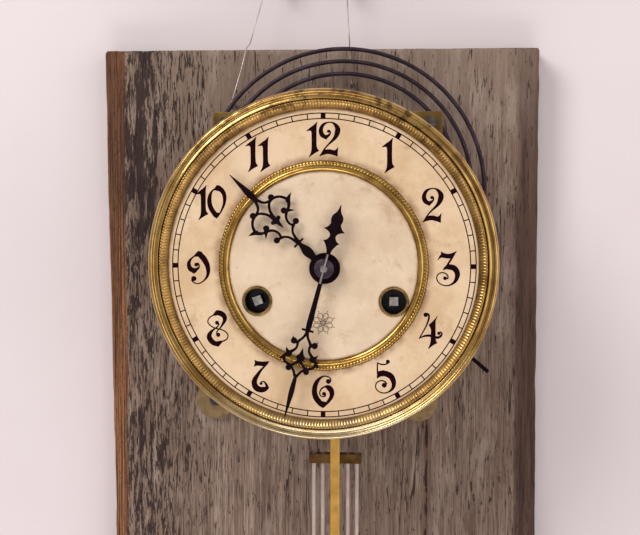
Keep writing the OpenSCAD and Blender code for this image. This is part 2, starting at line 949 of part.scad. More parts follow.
module second_wheel() {
    arbor(second_at, great_wheel_y + 1.5, 5.5, barrel_pinion, barrel_m, second_phase);
    wheel(second_at, front_wheel_y, 1.6, second_teeth, second_m);
}

lifting_pins = 10;
module pin_wheel() {
    arbor(pin_at, front_wheel_y + 1.5, 5, small_pinion, second_m, pin_phase);
    wheel(pin_at, pin_wheel_y, 1.4, pin_teeth, strike_m);
    color("#b7b9be")
        for (k = [0 : lifting_pins - 1])
            bar(pin_at + polar(14.1, k * 360 / lifting_pins), 0.5, pin_wheel_y + 0.2, pin_wheel_y - 4.5);
}

module warning_wheel() {
    arbor(warning_at, pin_wheel_y + 1, 3.4, small_pinion, strike_m, warning_phase);
    wheel(warning_at, warning_wheel_y, 1.2, warning_teeth, strike_m, 3.2, 4, 2);
    color("#b7b9be")
        bar(warning_at + [0, 10.9], 0.4, warning_wheel_y + 0.2, warning_wheel_y - 4);
}

// Two thin vanes brake the strike
fly_w = 20;
module fly() {
    arbor(fly_at, warning_wheel_y + 1, 3.4, small_pinion, strike_m, fly_phase);
    color("#c8a55a")
        translate([fly_at[0] - fly_w / 2, -106, fly_at[1] - 0.3])
            cube([fly_w, 21, 0.6]);
}

// ---- hammer ----

hammer_y = back_y + 2.4;
hammer_low = [-36, -1];
hammer_way = heading(hammer_low, hammer_low + [-26, -16]);
hammer_head_r = 4.6;
module hammer() {
    color("#b7b9be") {
        bar(hammer_at, arbor_r, hammer_y, plate_front);
        plate(pin_wheel_y - 2, 1.4)
            polygon([hammer_at + [-1.6, 2.4], hammer_at + [2.4, 2.2], hammer_at + polar(7, 36),
                hammer_at + [3, -1.6], hammer_at + [-1.6, -2.2]]);
    }
    color("#9c8350") {
        plate(hammer_y, 1.2) {
            translate(hammer_at)
                circle(r = 3);
            polygon(strap(hammer_at, hammer_low, 2.4));
            translate(hammer_low)
                circle(r = 2);
        }
        bar(hammer_low, 1.2, gong_y - 2, hammer_y - 0.6);
        translate([hammer_low[0], gong_y, hammer_low[1]])
            rotate([0, 90 - hammer_way, 0])
                translate([0, 0, -7])
                    cylinder(r = hammer_head_r, h = 12);
    }
}

// ---- dial ----

module dial_holes(wider = 0) {
    for (p = [going_at, strike_at])
        translate(p)
            circle(r = winding_hole_r + wider);
}

module dial_plate() {
    color("#b79a5e") {
        plate(dial_back, 0.7)
            difference() {
                translate(bezel_at)
                    circle(r = bezel_in, $fn = fine);
                circle(r = dial_bore_r);
                dial_holes(1.2);
            }
        for (p = feet_at) {
            bar(p, 2, plate_front, dial_back);
            bar(p, 1.15, front_y + 2, plate_front);
        }
    }
}

module chapter_ring() {
    color("#e9e0c4")
        plate(dial_back - 0.7, 0.5)
            translate(dial_at)
                difference() {
                    circle(r = bezel_in - 1.8, $fn = fine);
                    circle(r = inner_ring_r - 1, $fn = fine);
                }
}

module centre_disc() {
    color("#efe9d6")
        plate(dial_back - 0.7, 0.5)
            difference() {
                translate(dial_at)
                    circle(r = centre_r, $fn = fine);
                circle(r = dial_bore_r);
                dial_holes(1.2);
            }
}

module inner_ring() {
    color("#c9a24a")
        turned(dial_at)
            polygon([
                [inner_ring_r - 1, 125.5], [centre_r, 125.5], [centre_r, 126.6],
                [centre_r + 0.8, 127.2], [inner_ring_r - 2.6, 127.5], [inner_ring_r, 127.4],
                [inner_ring_r, 126.05], [inner_ring_r - 1, 126.05]
            ]);
}

module milled_ring() {
    color("#d2ad55")
        turned(bezel_at)
            polygon([
                [dial_r, 126.05], [bezel_in, 126.05], [bezel_in, 129.4], [bezel_in - 0.8, 129.8],
                [dial_r + 0.6, 127], [dial_r, 126.8]
            ]);
}

bezel_deep = 118;

module bezel() {
    color("#caa24a")
        turned(bezel_at)
            polygon([
                [bezel_in, 124.8], [bezel_in, bezel_deep + 4], [bezel_r - 1.8, bezel_deep + 4],
                [bezel_r - 1.8, bezel_deep], [bezel_r - 0.6, bezel_deep], [bezel_r, bezel_deep + 1],
                [bezel_r, 128], [bezel_r - 0.6, 129.6], [bezel_r - 1.8, 130.4], [bezel_r - 3.6, 130.4],
                [bezel_in + 1.2, 129.8], [bezel_in, 129.4]
            ]);
}
module grommets() {
    color("#d2ad55")
        for (p = [going_at, strike_at])
            turned(p)
                polygon([
                    [winding_hole_r, 124.4], [winding_hole_r + 1.2, 124.4], [winding_hole_r + 1.2, 126],
                    [winding_hole_r + 1.6, 126], [winding_hole_r + 1.6, 126.3], [winding_hole_r + 1.2, 127],
                    [winding_hole_r + 0.5, 127], [winding_hole_r, 126.5]
                ]);
}

// ---- hands ----

// A smooth curve through points, with n steps from each to the next
function between(a, b, c, d, t) =
    0.5 * (2 * b + (c - a) * t + (2 * a - 5 * b + 4 * c - d) * t ^ 2 + (3 * b - a - 3 * c + d) * t ^ 3);
function smooth(pts, n = 3) =
    let (m = len(pts) - 1)
    concat(
        [for (i = [0 : m - 1], k = [0 : n - 1])
            between(pts[max(i - 1, 0)], pts[i], pts[i + 1], pts[min(i + 2, m)], k / n)],
        [pts[m]]
    );

// The edge of a stroke whose points are [along, across, width]
function place_of(p) = [p[0], p[1]];
function way_at(pts, i) = heading(place_of(pts[max(i - 1, 0)]), place_of(pts[min(i + 1, len(pts) - 1)]));
function edge(pts, side) = [
    for (i = [0 : len(pts) - 1])
        place_of(pts[i]) + polar(side * pts[i][2] / 2, way_at(pts, i) + 90)
];
function back(points) = [for (i = [len(points) - 1 : -1 : 0]) points[i]];

// A flat stroke of changing width, drawn on both sides of a hand
module stroke(pts) {
    line = smooth(pts);
    for (s = [-1, 1])
        scale([1, s])
            polygon(concat(edge(line, 1), back(edge(line, -1))));
}

// An outline given by half its width along the middle line
module blade(pts) {
    line = smooth(pts);
    polygon(concat(line, [for (p = back(line)) [p[0], -p[1]]]));
}

// A pair of balls beside the middle line
module balls(along, across, r) {
    for (s = [-1, 1])
        translate([along, s * across])
            circle(r = r, $fn = rough);
}

// The bar across a hand below its lyre
module crossbar_of(along, half) {
    translate([along - 0.55, -half])
        square([1.1, 2 * half]);
}

// A hand points up when dir is zero, and turns clockwise
module hand(y_back, thick, dir) {
    plate(y_back, thick)
        rotate(90 - dir)
            children();
}

// Both hands share one pattern: an arm, a bar, an open lyre with scrolls, and a spear
hub_r = 8;
module hour_outline() {
    circle(r = hub_r);
    blade([[6, 2], [8, 1.7], [10, 2.2], [12, 2.5], [14, 2.2], [16.5, 1.3], [18.4, 0.9], [20, 0.9]]);
    crossbar_of(18.7, 3.2);
    stroke([[18.6, 0.3, 1.8], [21.9, 0.8, 1.4], [24.4, 1.6, 1.2], [26.1, 3, 1.2], [27, 4.6, 1.5]]);
    stroke([[26.9, 4.3, 1.6], [27.3, 5.6, 1.3], [27.6, 7, 1.4]]);
    balls(27.6, 7, 1.6);
    stroke([[26.9, 4.6, 1.4], [28.4, 3.9, 1.2], [30.2, 3.8, 1.2], [32.4, 4.7, 1.3], [33.8, 6.2, 1.4],
        [34.8, 8.4, 1.4], [35.6, 10, 1.5], [37, 11.3, 1.8], [38.6, 12.6, 2]]);
    balls(35.8, 6.5, 1.6);
    stroke([[35.6, 6.7, 2.6], [33.9, 8.6, 1.5], [32.2, 10.4, 0.2]]);
    stroke([[37.4, 11, 2.4], [38.7, 13, 1.8], [39.6, 15.7, 0.2]]);
    stroke([[38.2, 12, 1.8], [40.3, 11.3, 1.4], [42.5, 9.9, 1.3], [43.9, 7.8, 1.4], [44.3, 5.6, 1.4],
        [43.8, 3.9, 1.3], [42.6, 2.6, 1.3], [40.9, 1.4, 1.3], [38.7, 0.6, 1.5], [36.6, 0.3, 1.8]]);
    balls(45.2, 6.7, 1.6);
    stroke([[44.4, 5, 1.4], [45.2, 3, 1.3], [46.6, 1.7, 1.3], [48.4, 0.9, 1.5], [50.4, 0.2, 1.8]]);
    blade([[29.8, 0.1], [32, 0.7], [33.4, 1], [34.4, 1.8], [36, 1.3], [37.6, 0.5]]);
    balls(35.3, 1.9, 1.1);
    blade([[48.6, 0.5], [51, 1.2], [53.8, 1.7], [57, 1.5], [62, 0.9], [68.5, 0.15]]);
}

module minute_outline() {
    circle(r = hub_r - 1.8);
    blade([[5, 1.2], [8, 1.1], [20, 1.3], [28, 1.5], [32, 1.3], [35.5, 0.8]]);
    crossbar_of(32.9, 3.1);
    stroke([[34.6, 0.3, 1.6], [36.6, 1.1, 1.3], [38.4, 2.4, 1.3], [40, 3.7, 1.6], [39.9, 5, 1.8]]);
    balls(39.7, 5.5, 1.6);
    stroke([[39.4, 5.8, 1.8], [38.4, 6.3, 0.9], [37.5, 6.6, 0.2]]);
    stroke([[39.9, 3.5, 1.5], [41.6, 3.2, 1.2], [43.5, 3.6, 1.3], [45.1, 5, 1.5], [46.6, 6.6, 2],
        [47.8, 7.9, 1.6], [49, 8.6, 1.6]]);
    balls(46.8, 6.3, 1.6);
    stroke([[46.4, 6.8, 2.4], [45.2, 7.8, 1.2], [44, 8.5, 0.2]]);
    stroke([[48.4, 8.1, 2.2], [49.6, 9.4, 1.4], [50.3, 10.4, 0.2]]);
    stroke([[49, 8.5, 1.6], [50.9, 7.7, 1.3], [52.1, 5.6, 1.3], [52.4, 3.8, 1.3], [51.4, 2.4, 1.2],
        [50.1, 1.2, 1.3], [49.2, 0.3, 1.6]]);
    balls(53.9, 4.7, 1.5);
    stroke([[52.3, 4.2, 1.4], [53.6, 2.9, 1.2], [55.4, 1.5, 1.2], [57.6, 0.4, 1.5]]);
    blade([[42.5, 0.15], [44.6, 0.8], [45.8, 1.3], [46.8, 2.2], [47.8, 2.2], [49, 1.2], [50.2, 0.5]]);
    blade([[56.5, 0.4], [58.5, 0.9], [62, 1.2], [66, 1.35], [70, 1.1], [80, 0.15]]);
    rotate(180)
        polygon(concat(tail_side, [for (p = back(tail_side)) [p[0], -p[1]]]));
}

// The tail has two pairs of barbs with round notches between them, and a pointed bulb
tail_side = concat(
    smooth([[5, 1.3], [8.6, 1.1], [11, 1.9], [13.2, 3.3], [14, 4.2]]),
    smooth([[14.1, 4.2], [14.9, 2.7], [16.2, 1.75], [17.4, 1.55], [18.6, 2.1], [19.6, 3.6], [20.2, 5.5]]),
    smooth([[20.3, 5.4], [21.6, 3.7], [23.5, 2.6]]),
    smooth([[23.6, 2.6], [24.8, 2.95], [26, 3.1], [27.8, 2.7], [29.8, 1.2], [31.8, 0.5], [33.7, 0.15]])
);

hour_design = 68.5;
minute_design = 80;
module hour_hand() {
    color("#20222c")
        difference() {
            union() {
                hand(hour_hand_y, 1, hour_dir)
                    scale(hour_len / hour_design)
                        hour_outline();
                bar(middle, 5.2, hour_hand_y + 0.8, hour_hand_y);
            }
            bar(middle, hour_pipe_r, 0, hour_hand_y - 0.6);
            bar(middle, cannon_pipe_r + running, 0, arbor_tip_y);
        }
}

module minute_hand() {
    color("#20222c")
        difference() {
            union() {
                hand(minute_hand_y, 1, minute_dir)
                    scale(minute_len / minute_design)
                        minute_outline();
                bar(middle, 4.4, minute_hand_y + 0.8, minute_hand_y);
            }
            bar(middle, cannon_pipe_r, 0, minute_hand_y);
            bar(middle, arbor_r + 0.5, 0, arbor_tip_y);
        }
}

// A domed washer holds the hand against the pin
washer_t = 1.6;
module hand_washer() {
    color("#b8963f")
        difference() {
            bar(middle, 5, minute_hand_y - 1, minute_hand_y - 1 - washer_t);
            bar(middle, arbor_r + 0.5, 0, arbor_tip_y);
        }
}

taper_pin_len = 15.5;
taper_pin_y = minute_hand_y - 1 - washer_t - 0.8;
module taper_pin_bar(r) {
    hand_way = 90 - minute_dir;
    translate([0, taper_pin_y, 0])
        rotate([0, -hand_way, 0])
            translate([-taper_pin_len / 2, 0, 0])
                rotate([0, 90, 0])
                    cylinder(r = r, h = taper_pin_len, $fn = rough);
}

module taper_pin() {
    color("#6f6f74")
        taper_pin_bar(0.55);
}

// ---- suspension and pendulum ----

// The cock's web carries the arbor of the anchor, and the cheek behind it holds the spring's pin
cock_web_y = back_y + 6.5;
cock_web_t = 2.5;
cock_arm = 11.5;
cock_slot = 8;
pin_hole_end = cock_web_y - 0.6;
suspension_pin_r = 0.9;
suspension_len = 17;
chop_y = cock_web_y + 1.2;
chop_w = 6.5;
module suspension_cock() {
    color("#c2a05a")
        difference() {
            union() {
                for (p = cock_feet)
                    bar(p, 4, cock_web_y, back_y);
                translate([-15, cock_web_y - cock_web_t, 58])
                    cube([30, cock_web_t, 12]);
                translate([-5, cock_web_y, 58])
                    cube([10, cock_arm, 12]);
            }
            bar(pallet_at, pivot_r + running, pallet_end_y + 0.2, back_y);
            translate([-1.6, cock_web_y + 0.6, 56])
                cube([3.2, cock_slot, 20]);
            bar(pallet_at, suspension_pin_r + running, 0, pin_hole_end);
            for (p = cock_feet)
                bar(p, 1.2, back_y + 4, back_y - 1);
        }
}

module suspension_spring() {
    color("#8f9197")
        union() {
            bar(pallet_at, suspension_pin_r, cock_web_y + cock_arm - 0.8, pin_hole_end + 0.2);
            translate([-1.3, chop_y, pivot_z - 3])
                cube([2.6, chop_w, 6]);
            translate([-0.2, chop_y + 0.5, pivot_z - suspension_len])
                cube([0.4, chop_w - 1, suspension_len]);
            translate([-1.3, chop_y, pivot_z - suspension_len - 5])
                cube([2.6, chop_w, 6]);
            bar([0, pivot_z - suspension_len - 2], 0.9, chop_y + chop_w + 1, chop_y - 1);
        }
}

hook_top = pivot_z - suspension_len + 1;
strap_top = pivot_z - suspension_len - 9;
strap_back = pendulum_y + 1.5;
bar_w = 30.2;
bar_h = 5.5;
bar_top_z = -112;
bar_low_z = -262;
rod_y = strap_back + 3;
rod_r = 1.15;
rods_x = [-12.4, -7.2, 7.2, 12.4];

module pendulum_hook() {
    color("#c2a05a")
        difference() {
            translate([-3.5, chop_y - 1.4, strap_top - 8])
                cube([7, chop_w + 2.8, hook_top - strap_top + 8]);
            translate([-1.4, chop_y - 0.1, strap_top])
                cube([2.8, chop_w + 0.2, 20]);
            bar([0, pivot_z - suspension_len - 2], 0.95, 0, -80);
            translate([-strap_w / 2, strap_back - strap_t, strap_top - 9])
                cube([strap_w, strap_t, 8]);
        }
}

module pendulum_strap() {
    color("#d8b45c")
        translate([-strap_w / 2, strap_back - strap_t, -bob_z + 4])
            cube([strap_w, strap_t, strap_top - 1 + bob_z - 4]);
}

module crossbar(z) {
    difference() {
        translate([-bar_w / 2, strap_back, z - bar_h])
            cube([bar_w, 6, bar_h]);
        for (x = rods_x)
            translate([x, rod_y, z - bar_h - 1])
                cylinder(r = rod_r, h = bar_h + 2, $fn = rough);
    }
}

module pendulum_crossbars() {
    color("#7d6537") {
        crossbar(bar_top_z);
        crossbar(bar_low_z);
    }
}

module pendulum_rods() {
    color("#b9b7b2")
        for (x = rods_x)
            translate([x, rod_y, bar_low_z - bar_h])
                cylinder(r = rod_r, h = bar_top_z - bar_low_z + bar_h, $fn = rough);
}

bob_deep = 8;
module bob() {
    color("#cfab57")
        difference() {
            translate([0, strap_back - strap_t / 2, -bob_z])
                rotate([90, 0, 0])
                    rotate_extrude($fn = fine)
                        polygon([
                            [0, -bob_deep], [bob_r * 0.5, -bob_deep * 0.86], [bob_r * 0.85, -bob_deep * 0.45],
                            [bob_r, -1.2], [bob_r, 1.2], [bob_r * 0.85, bob_deep * 0.45],
                            [bob_r * 0.5, bob_deep * 0.86], [0, bob_deep]
                        ]);
            translate([-strap_w / 2, strap_back - strap_t, -bob_z + 4])
                cube([strap_w, strap_t, bob_r]);
            translate([0, strap_back - strap_t / 2, -bob_z - bob_r - 1])
                cylinder(r = 1.5, h = bob_r + 6, $fn = rough);
        }
}

nut_z = -bob_z - bob_r - 5;
module rating_nut() {
    color("#c2a05a")
        union() {
            translate([0, strap_back - strap_t / 2, nut_z])
                cylinder(r = 5, h = 4);
            translate([0, strap_back - strap_t / 2, nut_z - 6])
                cylinder(r = 1.5, h = bob_r + 14, $fn = rough);
        }
}

backboard();
brackets();
board_screws();
screw_eyes();
hanging_wire();
hanging_studs();
gong_base();
gong_coil();
back_plate();
front_plate();
pillars();
movement_screws();
suspension_cock();
barrel_going();
mainspring_going();
winding_arbor_going();
click_going();
barrel_strike();
mainspring_strike();
winding_arbor_strike();
click_strike();
click_springs();
lever_studs();
centre_arbor();
centre_wheel();
intermediate_wheel();
third_wheel();
escape_wheel();
anchor();
crutch();
cannon_pinion();
minute_wheel();
hour_wheel();
snail();
rack();
rack_hook();
lifting_lever();
second_wheel();
pin_wheel();
warning_wheel();
fly();
hammer();
dial_plate();
chapter_ring();
centre_disc();
inner_ring();
milled_ring();
bezel();
grommets();
hour_hand();
minute_hand();
hand_washer();
taper_pin();
suspension_spring();
pendulum_hook();
pendulum_strap();
pendulum_crossbars();
pendulum_rods();
bob();
rating_nut();
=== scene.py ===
import math

import bpy
import bmesh
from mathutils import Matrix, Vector, noise
from mathutils.geometry import tessellate_polygon


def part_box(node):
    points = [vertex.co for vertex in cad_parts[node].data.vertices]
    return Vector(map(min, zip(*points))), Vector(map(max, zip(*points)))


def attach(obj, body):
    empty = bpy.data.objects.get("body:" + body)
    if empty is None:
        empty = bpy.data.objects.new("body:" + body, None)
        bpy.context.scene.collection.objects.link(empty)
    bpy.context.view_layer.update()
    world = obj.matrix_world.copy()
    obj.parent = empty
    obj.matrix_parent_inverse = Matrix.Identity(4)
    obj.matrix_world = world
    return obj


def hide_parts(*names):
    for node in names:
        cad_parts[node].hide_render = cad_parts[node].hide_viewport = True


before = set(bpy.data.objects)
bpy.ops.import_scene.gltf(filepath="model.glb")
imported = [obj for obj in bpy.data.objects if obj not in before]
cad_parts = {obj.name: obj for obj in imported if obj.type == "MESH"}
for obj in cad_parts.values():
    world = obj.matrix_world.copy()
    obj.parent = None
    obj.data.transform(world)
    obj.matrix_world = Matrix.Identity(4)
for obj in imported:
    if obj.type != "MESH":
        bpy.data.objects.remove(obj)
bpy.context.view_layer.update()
MM = 0.001
TURN = 2 * math.pi
# Places on the front as (right, up) from the centre arbor, in millimetres.
# The printed dial, its numerals and the bezel all sit a little off the arbor.
DIAL_AT = (-1.1, 1.0)
NUMERALS_AT = (-1.1, -0.1)
BEZEL_AT = (-1.5, 1.5)
ROSETTE_AT = (0.0, -29.4)
WINDING_RIGHT = (35.4, -17.3)
WINDING_LEFT = (-35.4, -17.3)
# Behind this depth in millimetres the winding arbors are painted near-black as shade inside the dial's holes
WINDING_SHADE_Y = -123.9
SPLIT_X = 52.5
WIRE_R = 0.35
WALL_Y = 0.0015
FLOOR_Z = -1.2


# ---------------------------------------------------------------- camera
# It stands a little above and to the right of the dial and looks at its middle.
CAMERA_AT = Vector((0.053, -0.825, 0.043))
LOOK_AT = Vector((-0.0027, -0.126, 0.0002))
camera_data = bpy.data.cameras.new("camera")
camera_data.sensor_width = 36
camera_data.lens = 76.5
camera = bpy.data.objects.new("camera", camera_data)
bpy.context.scene.collection.objects.link(camera)
camera.location = CAMERA_AT
camera.rotation_euler = (LOOK_AT - CAMERA_AT).to_track_quat("-Z", "Y").to_euler()
bpy.context.scene.camera = camera
bpy.context.scene.view_settings.view_transform = "Standard"


def linked(name, data):
    piece = bpy.data.objects.new(name, data)
    bpy.context.scene.collection.objects.link(piece)
    return piece


# ---------------------------------------------------------------- materials
class Shader:
    """A node material whose patterns are laid out in millimetres in the row frame."""

    def __init__(self, name):
        self.material = bpy.data.materials.new(name)
        self.material.use_nodes = True
        self.tree = self.material.node_tree
        self.surface = self.tree.nodes["Principled BSDF"]
        self.place = self.add("ShaderNodeTexCoord").outputs["Object"]

    def add(self, kind, inputs=None, **settings):
        made = self.tree.nodes.new(kind)
        for key, value in settings.items():
            setattr(made, key, value)
        for key, value in (inputs or {}).items():
            self.feed(made.inputs[key], value)
        return made

    def feed(self, socket, value):
        if isinstance(value, bpy.types.NodeSocket):
            self.tree.links.new(value, socket)
        elif isinstance(value, (tuple, list)) and len(value) == 3 and socket.type == "RGBA":
            socket.default_value = (*value, 1)
        else:
            socket.default_value = value

    def noise(self, size, detail=4, rough=0.55, warp=0.0, shift=0.0):
        """size: millimetres across a blotch, one number or one for each axis"""
        size = size if isinstance(size, tuple) else (size,) * 3
        spot = self.add("ShaderNodeMapping", {
            "Vector": self.place,
            "Location": (shift, shift * 0.7, shift * 0.3),
            "Scale": tuple(1000 / s for s in size)})
        return self.add("ShaderNodeTexNoise", {
            "Vector": spot.outputs[0], "Scale": 1.0, "Detail": detail,
            "Roughness": rough, "Distortion": warp}).outputs["Fac"]

    def calc(self, what, a, b=0.0, clamp=False):
        return self.add("ShaderNodeMath", {0: a, 1: b}, operation=what, use_clamp=clamp).outputs[0]

    def span(self, value, low, high, out_low=0.0, out_high=1.0):
        """A soft step from out_low to out_high as the value goes from low to high"""
        return self.add("ShaderNodeMapRange", {
            "Value": value, "From Min": low, "From Max": high,
            "To Min": out_low, "To Max": out_high},
            interpolation_type="SMOOTHSTEP").outputs["Result"]

    def axis(self, letter):
        """The place along one axis in millimetres"""
        split = self.add("ShaderNodeSeparateXYZ", {"Vector": self.place})
        return self.calc("MULTIPLY", split.outputs[letter], 1000)

    def radius(self, centre=DIAL_AT):
        """Millimetres from the centre, seen from the front"""
        moved = self.add("ShaderNodeVectorMath", {0: self.place, 1: (centre[0] * MM, 0, centre[1] * MM)},
                         operation="SUBTRACT")
        flat = self.add("ShaderNodeVectorMath", {0: moved.outputs[0], 1: (1000, 0, 1000)},
                        operation="MULTIPLY")
        return self.add("ShaderNodeVectorMath", {0: flat.outputs[0]}, operation="LENGTH").outputs["Value"]

    def rings(self, width, detail=3):
        """Fine turning marks around the bezel's centre, width in millimetres"""
        far = self.calc("MULTIPLY", self.radius(BEZEL_AT), 1 / width)
        return self.add("ShaderNodeTexNoise", {"W": far, "Scale": 1.0, "Detail": detail},
                        noise_dimensions="1D").outputs["Fac"]

    def mix(self, amount, a, b):
        made = self.add("ShaderNodeMix", data_type="RGBA", blend_type="MIX")
        self.feed(made.inputs[0], amount)
        self.feed(made.inputs[6], a)
        self.feed(made.inputs[7], b)
        return made.outputs[2]

    def bump(self, height, strength, depth, under=None):
        made = self.add("ShaderNodeBump", {"Height": height, "Strength": strength, "Distance": depth * MM})
        if under is not None:
            self.feed(made.inputs["Normal"], under)
        return made.outputs["Normal"]

    def done(self, **values):
        names = {"colour": "Base Color", "rough": "Roughness", "metal": "Metallic", "normal": "Normal",
                 "coat": "Coat Weight", "coat_rough": "Coat Roughness", "specular": "Specular IOR Level"}
        for key, value in values.items():
            self.feed(self.surface.inputs[names[key]], value)
        return self.material


def metal(name, fresh, aged, rough, blotch=14, amount=0.5, scratch=0.35, turned=False, grime_and_shade=False,
          spots=0.0, arbor_shade=False, shade_behind_y=None, highlight_low=0.0, tarnish=False):
    """A worn metal: fresh and aged colours in blotches, with scratches and, if asked, turning marks,
    spots and the grime and painted shade stored on the mesh. It can paint shade as near-black around
    the winding arbors, and on a part behind a given depth in millimetres; it can paint paler
    highlights in patches low down on pieces with grime and shade; tarnish stains the top."""
    s = Shader(name)
    wear = s.span(s.noise(blotch, 6, 0.65), 0.5 - 0.35 * amount, 0.85 - 0.35 * amount)
    wear = s.calc("SUBTRACT", 1.0, wear)
    colour = s.mix(wear, fresh, aged)
    fine = s.noise((0.25, 0.25, 4), 3)
    colour = s.mix(s.span(fine, 0.35, 0.75, 0, 0.25), colour, aged)
    if spots:
        speck = s.span(s.noise(1.6, 3, 0.6, shift=7), 0.62, 0.72, 0, spots)
        colour = s.mix(speck, colour, tuple(c * 0.25 for c in aged))
    level = s.span(s.noise(6, 5, shift=3), 0.3, 0.75, rough[0], rough[1])
    if grime_and_shade:
        # The mesh's levels darken the colour: real grime, painted shade in recesses and creases, and a
        # painted brown reflection of the wood in the bezel's cove
        shade = s.add("ShaderNodeVertexColor", layer_name="grime_and_shade").outputs["Color"]
        dirt_and_shade = s.calc("MULTIPLY", shade, s.span(s.noise(5, 4, shift=5), 0.25, 0.75, 0.65, 1.0))
        colour = s.mix(dirt_and_shade, colour, tuple(c * 0.3 for c in aged))
        level = s.calc("ADD", level, s.calc("MULTIPLY", dirt_and_shade, 0.25), clamp=True)
    if highlight_low:
        # Painted highlights: paler metal in patches low down
        highlight_patch = s.span(s.noise(18, 4, shift=13), 0.3, 0.6, 0.35 * highlight_low, 0.9 * highlight_low)
        low_highlight = s.calc("MULTIPLY", s.span(s.axis("Z"), -58, -86), highlight_patch)
        colour = s.mix(s.calc("MULTIPLY", low_highlight, s.calc("SUBTRACT", 1.0, dirt_and_shade)), colour, (0.80, 0.69, 0.46))
    if tarnish:
        stain = s.span(s.noise(8, 5, 0.6, shift=23), 0.49, 0.59, 0, 0.85)
        colour = s.mix(s.calc("MULTIPLY", s.span(s.axis("Z"), 35, 75), stain), colour, (0.11, 0.060, 0.022))
    metallic = 1.0
    if arbor_shade:
        # Painted shade: near-black and not metallic around the winding arbors, where the plate lies in the
        # shade of the dial's holes
        near = s.calc("MINIMUM", s.radius(WINDING_RIGHT), s.radius(WINDING_LEFT))
        hole_shade = s.span(near, 15, 11)
        colour = s.mix(hole_shade, colour, (0.006, 0.005, 0.005))
        metallic = s.calc("SUBTRACT", 1.0, hole_shade)
    if shade_behind_y:
        # Painted shade: near-black behind this depth, inside the hole, so that only the square end stays
        # bright
        hole_shade = s.span(s.axis("Y"), shade_behind_y, shade_behind_y + 0.6)
        colour = s.mix(hole_shade, colour, (0.010, 0.009, 0.010))
        metallic = s.calc("SUBTRACT", 1.0, s.calc("MULTIPLY", hole_shade, 0.8))
    normal = s.bump(fine, scratch, 0.02)
    if turned:
        normal = s.bump(s.rings(0.35), 0.35, 0.03, normal)
    normal = s.bump(s.noise(9, 3, shift=2), 0.25, 0.12, normal)
    return s.done(colour=colour, rough=level, metal=metallic, normal=normal)


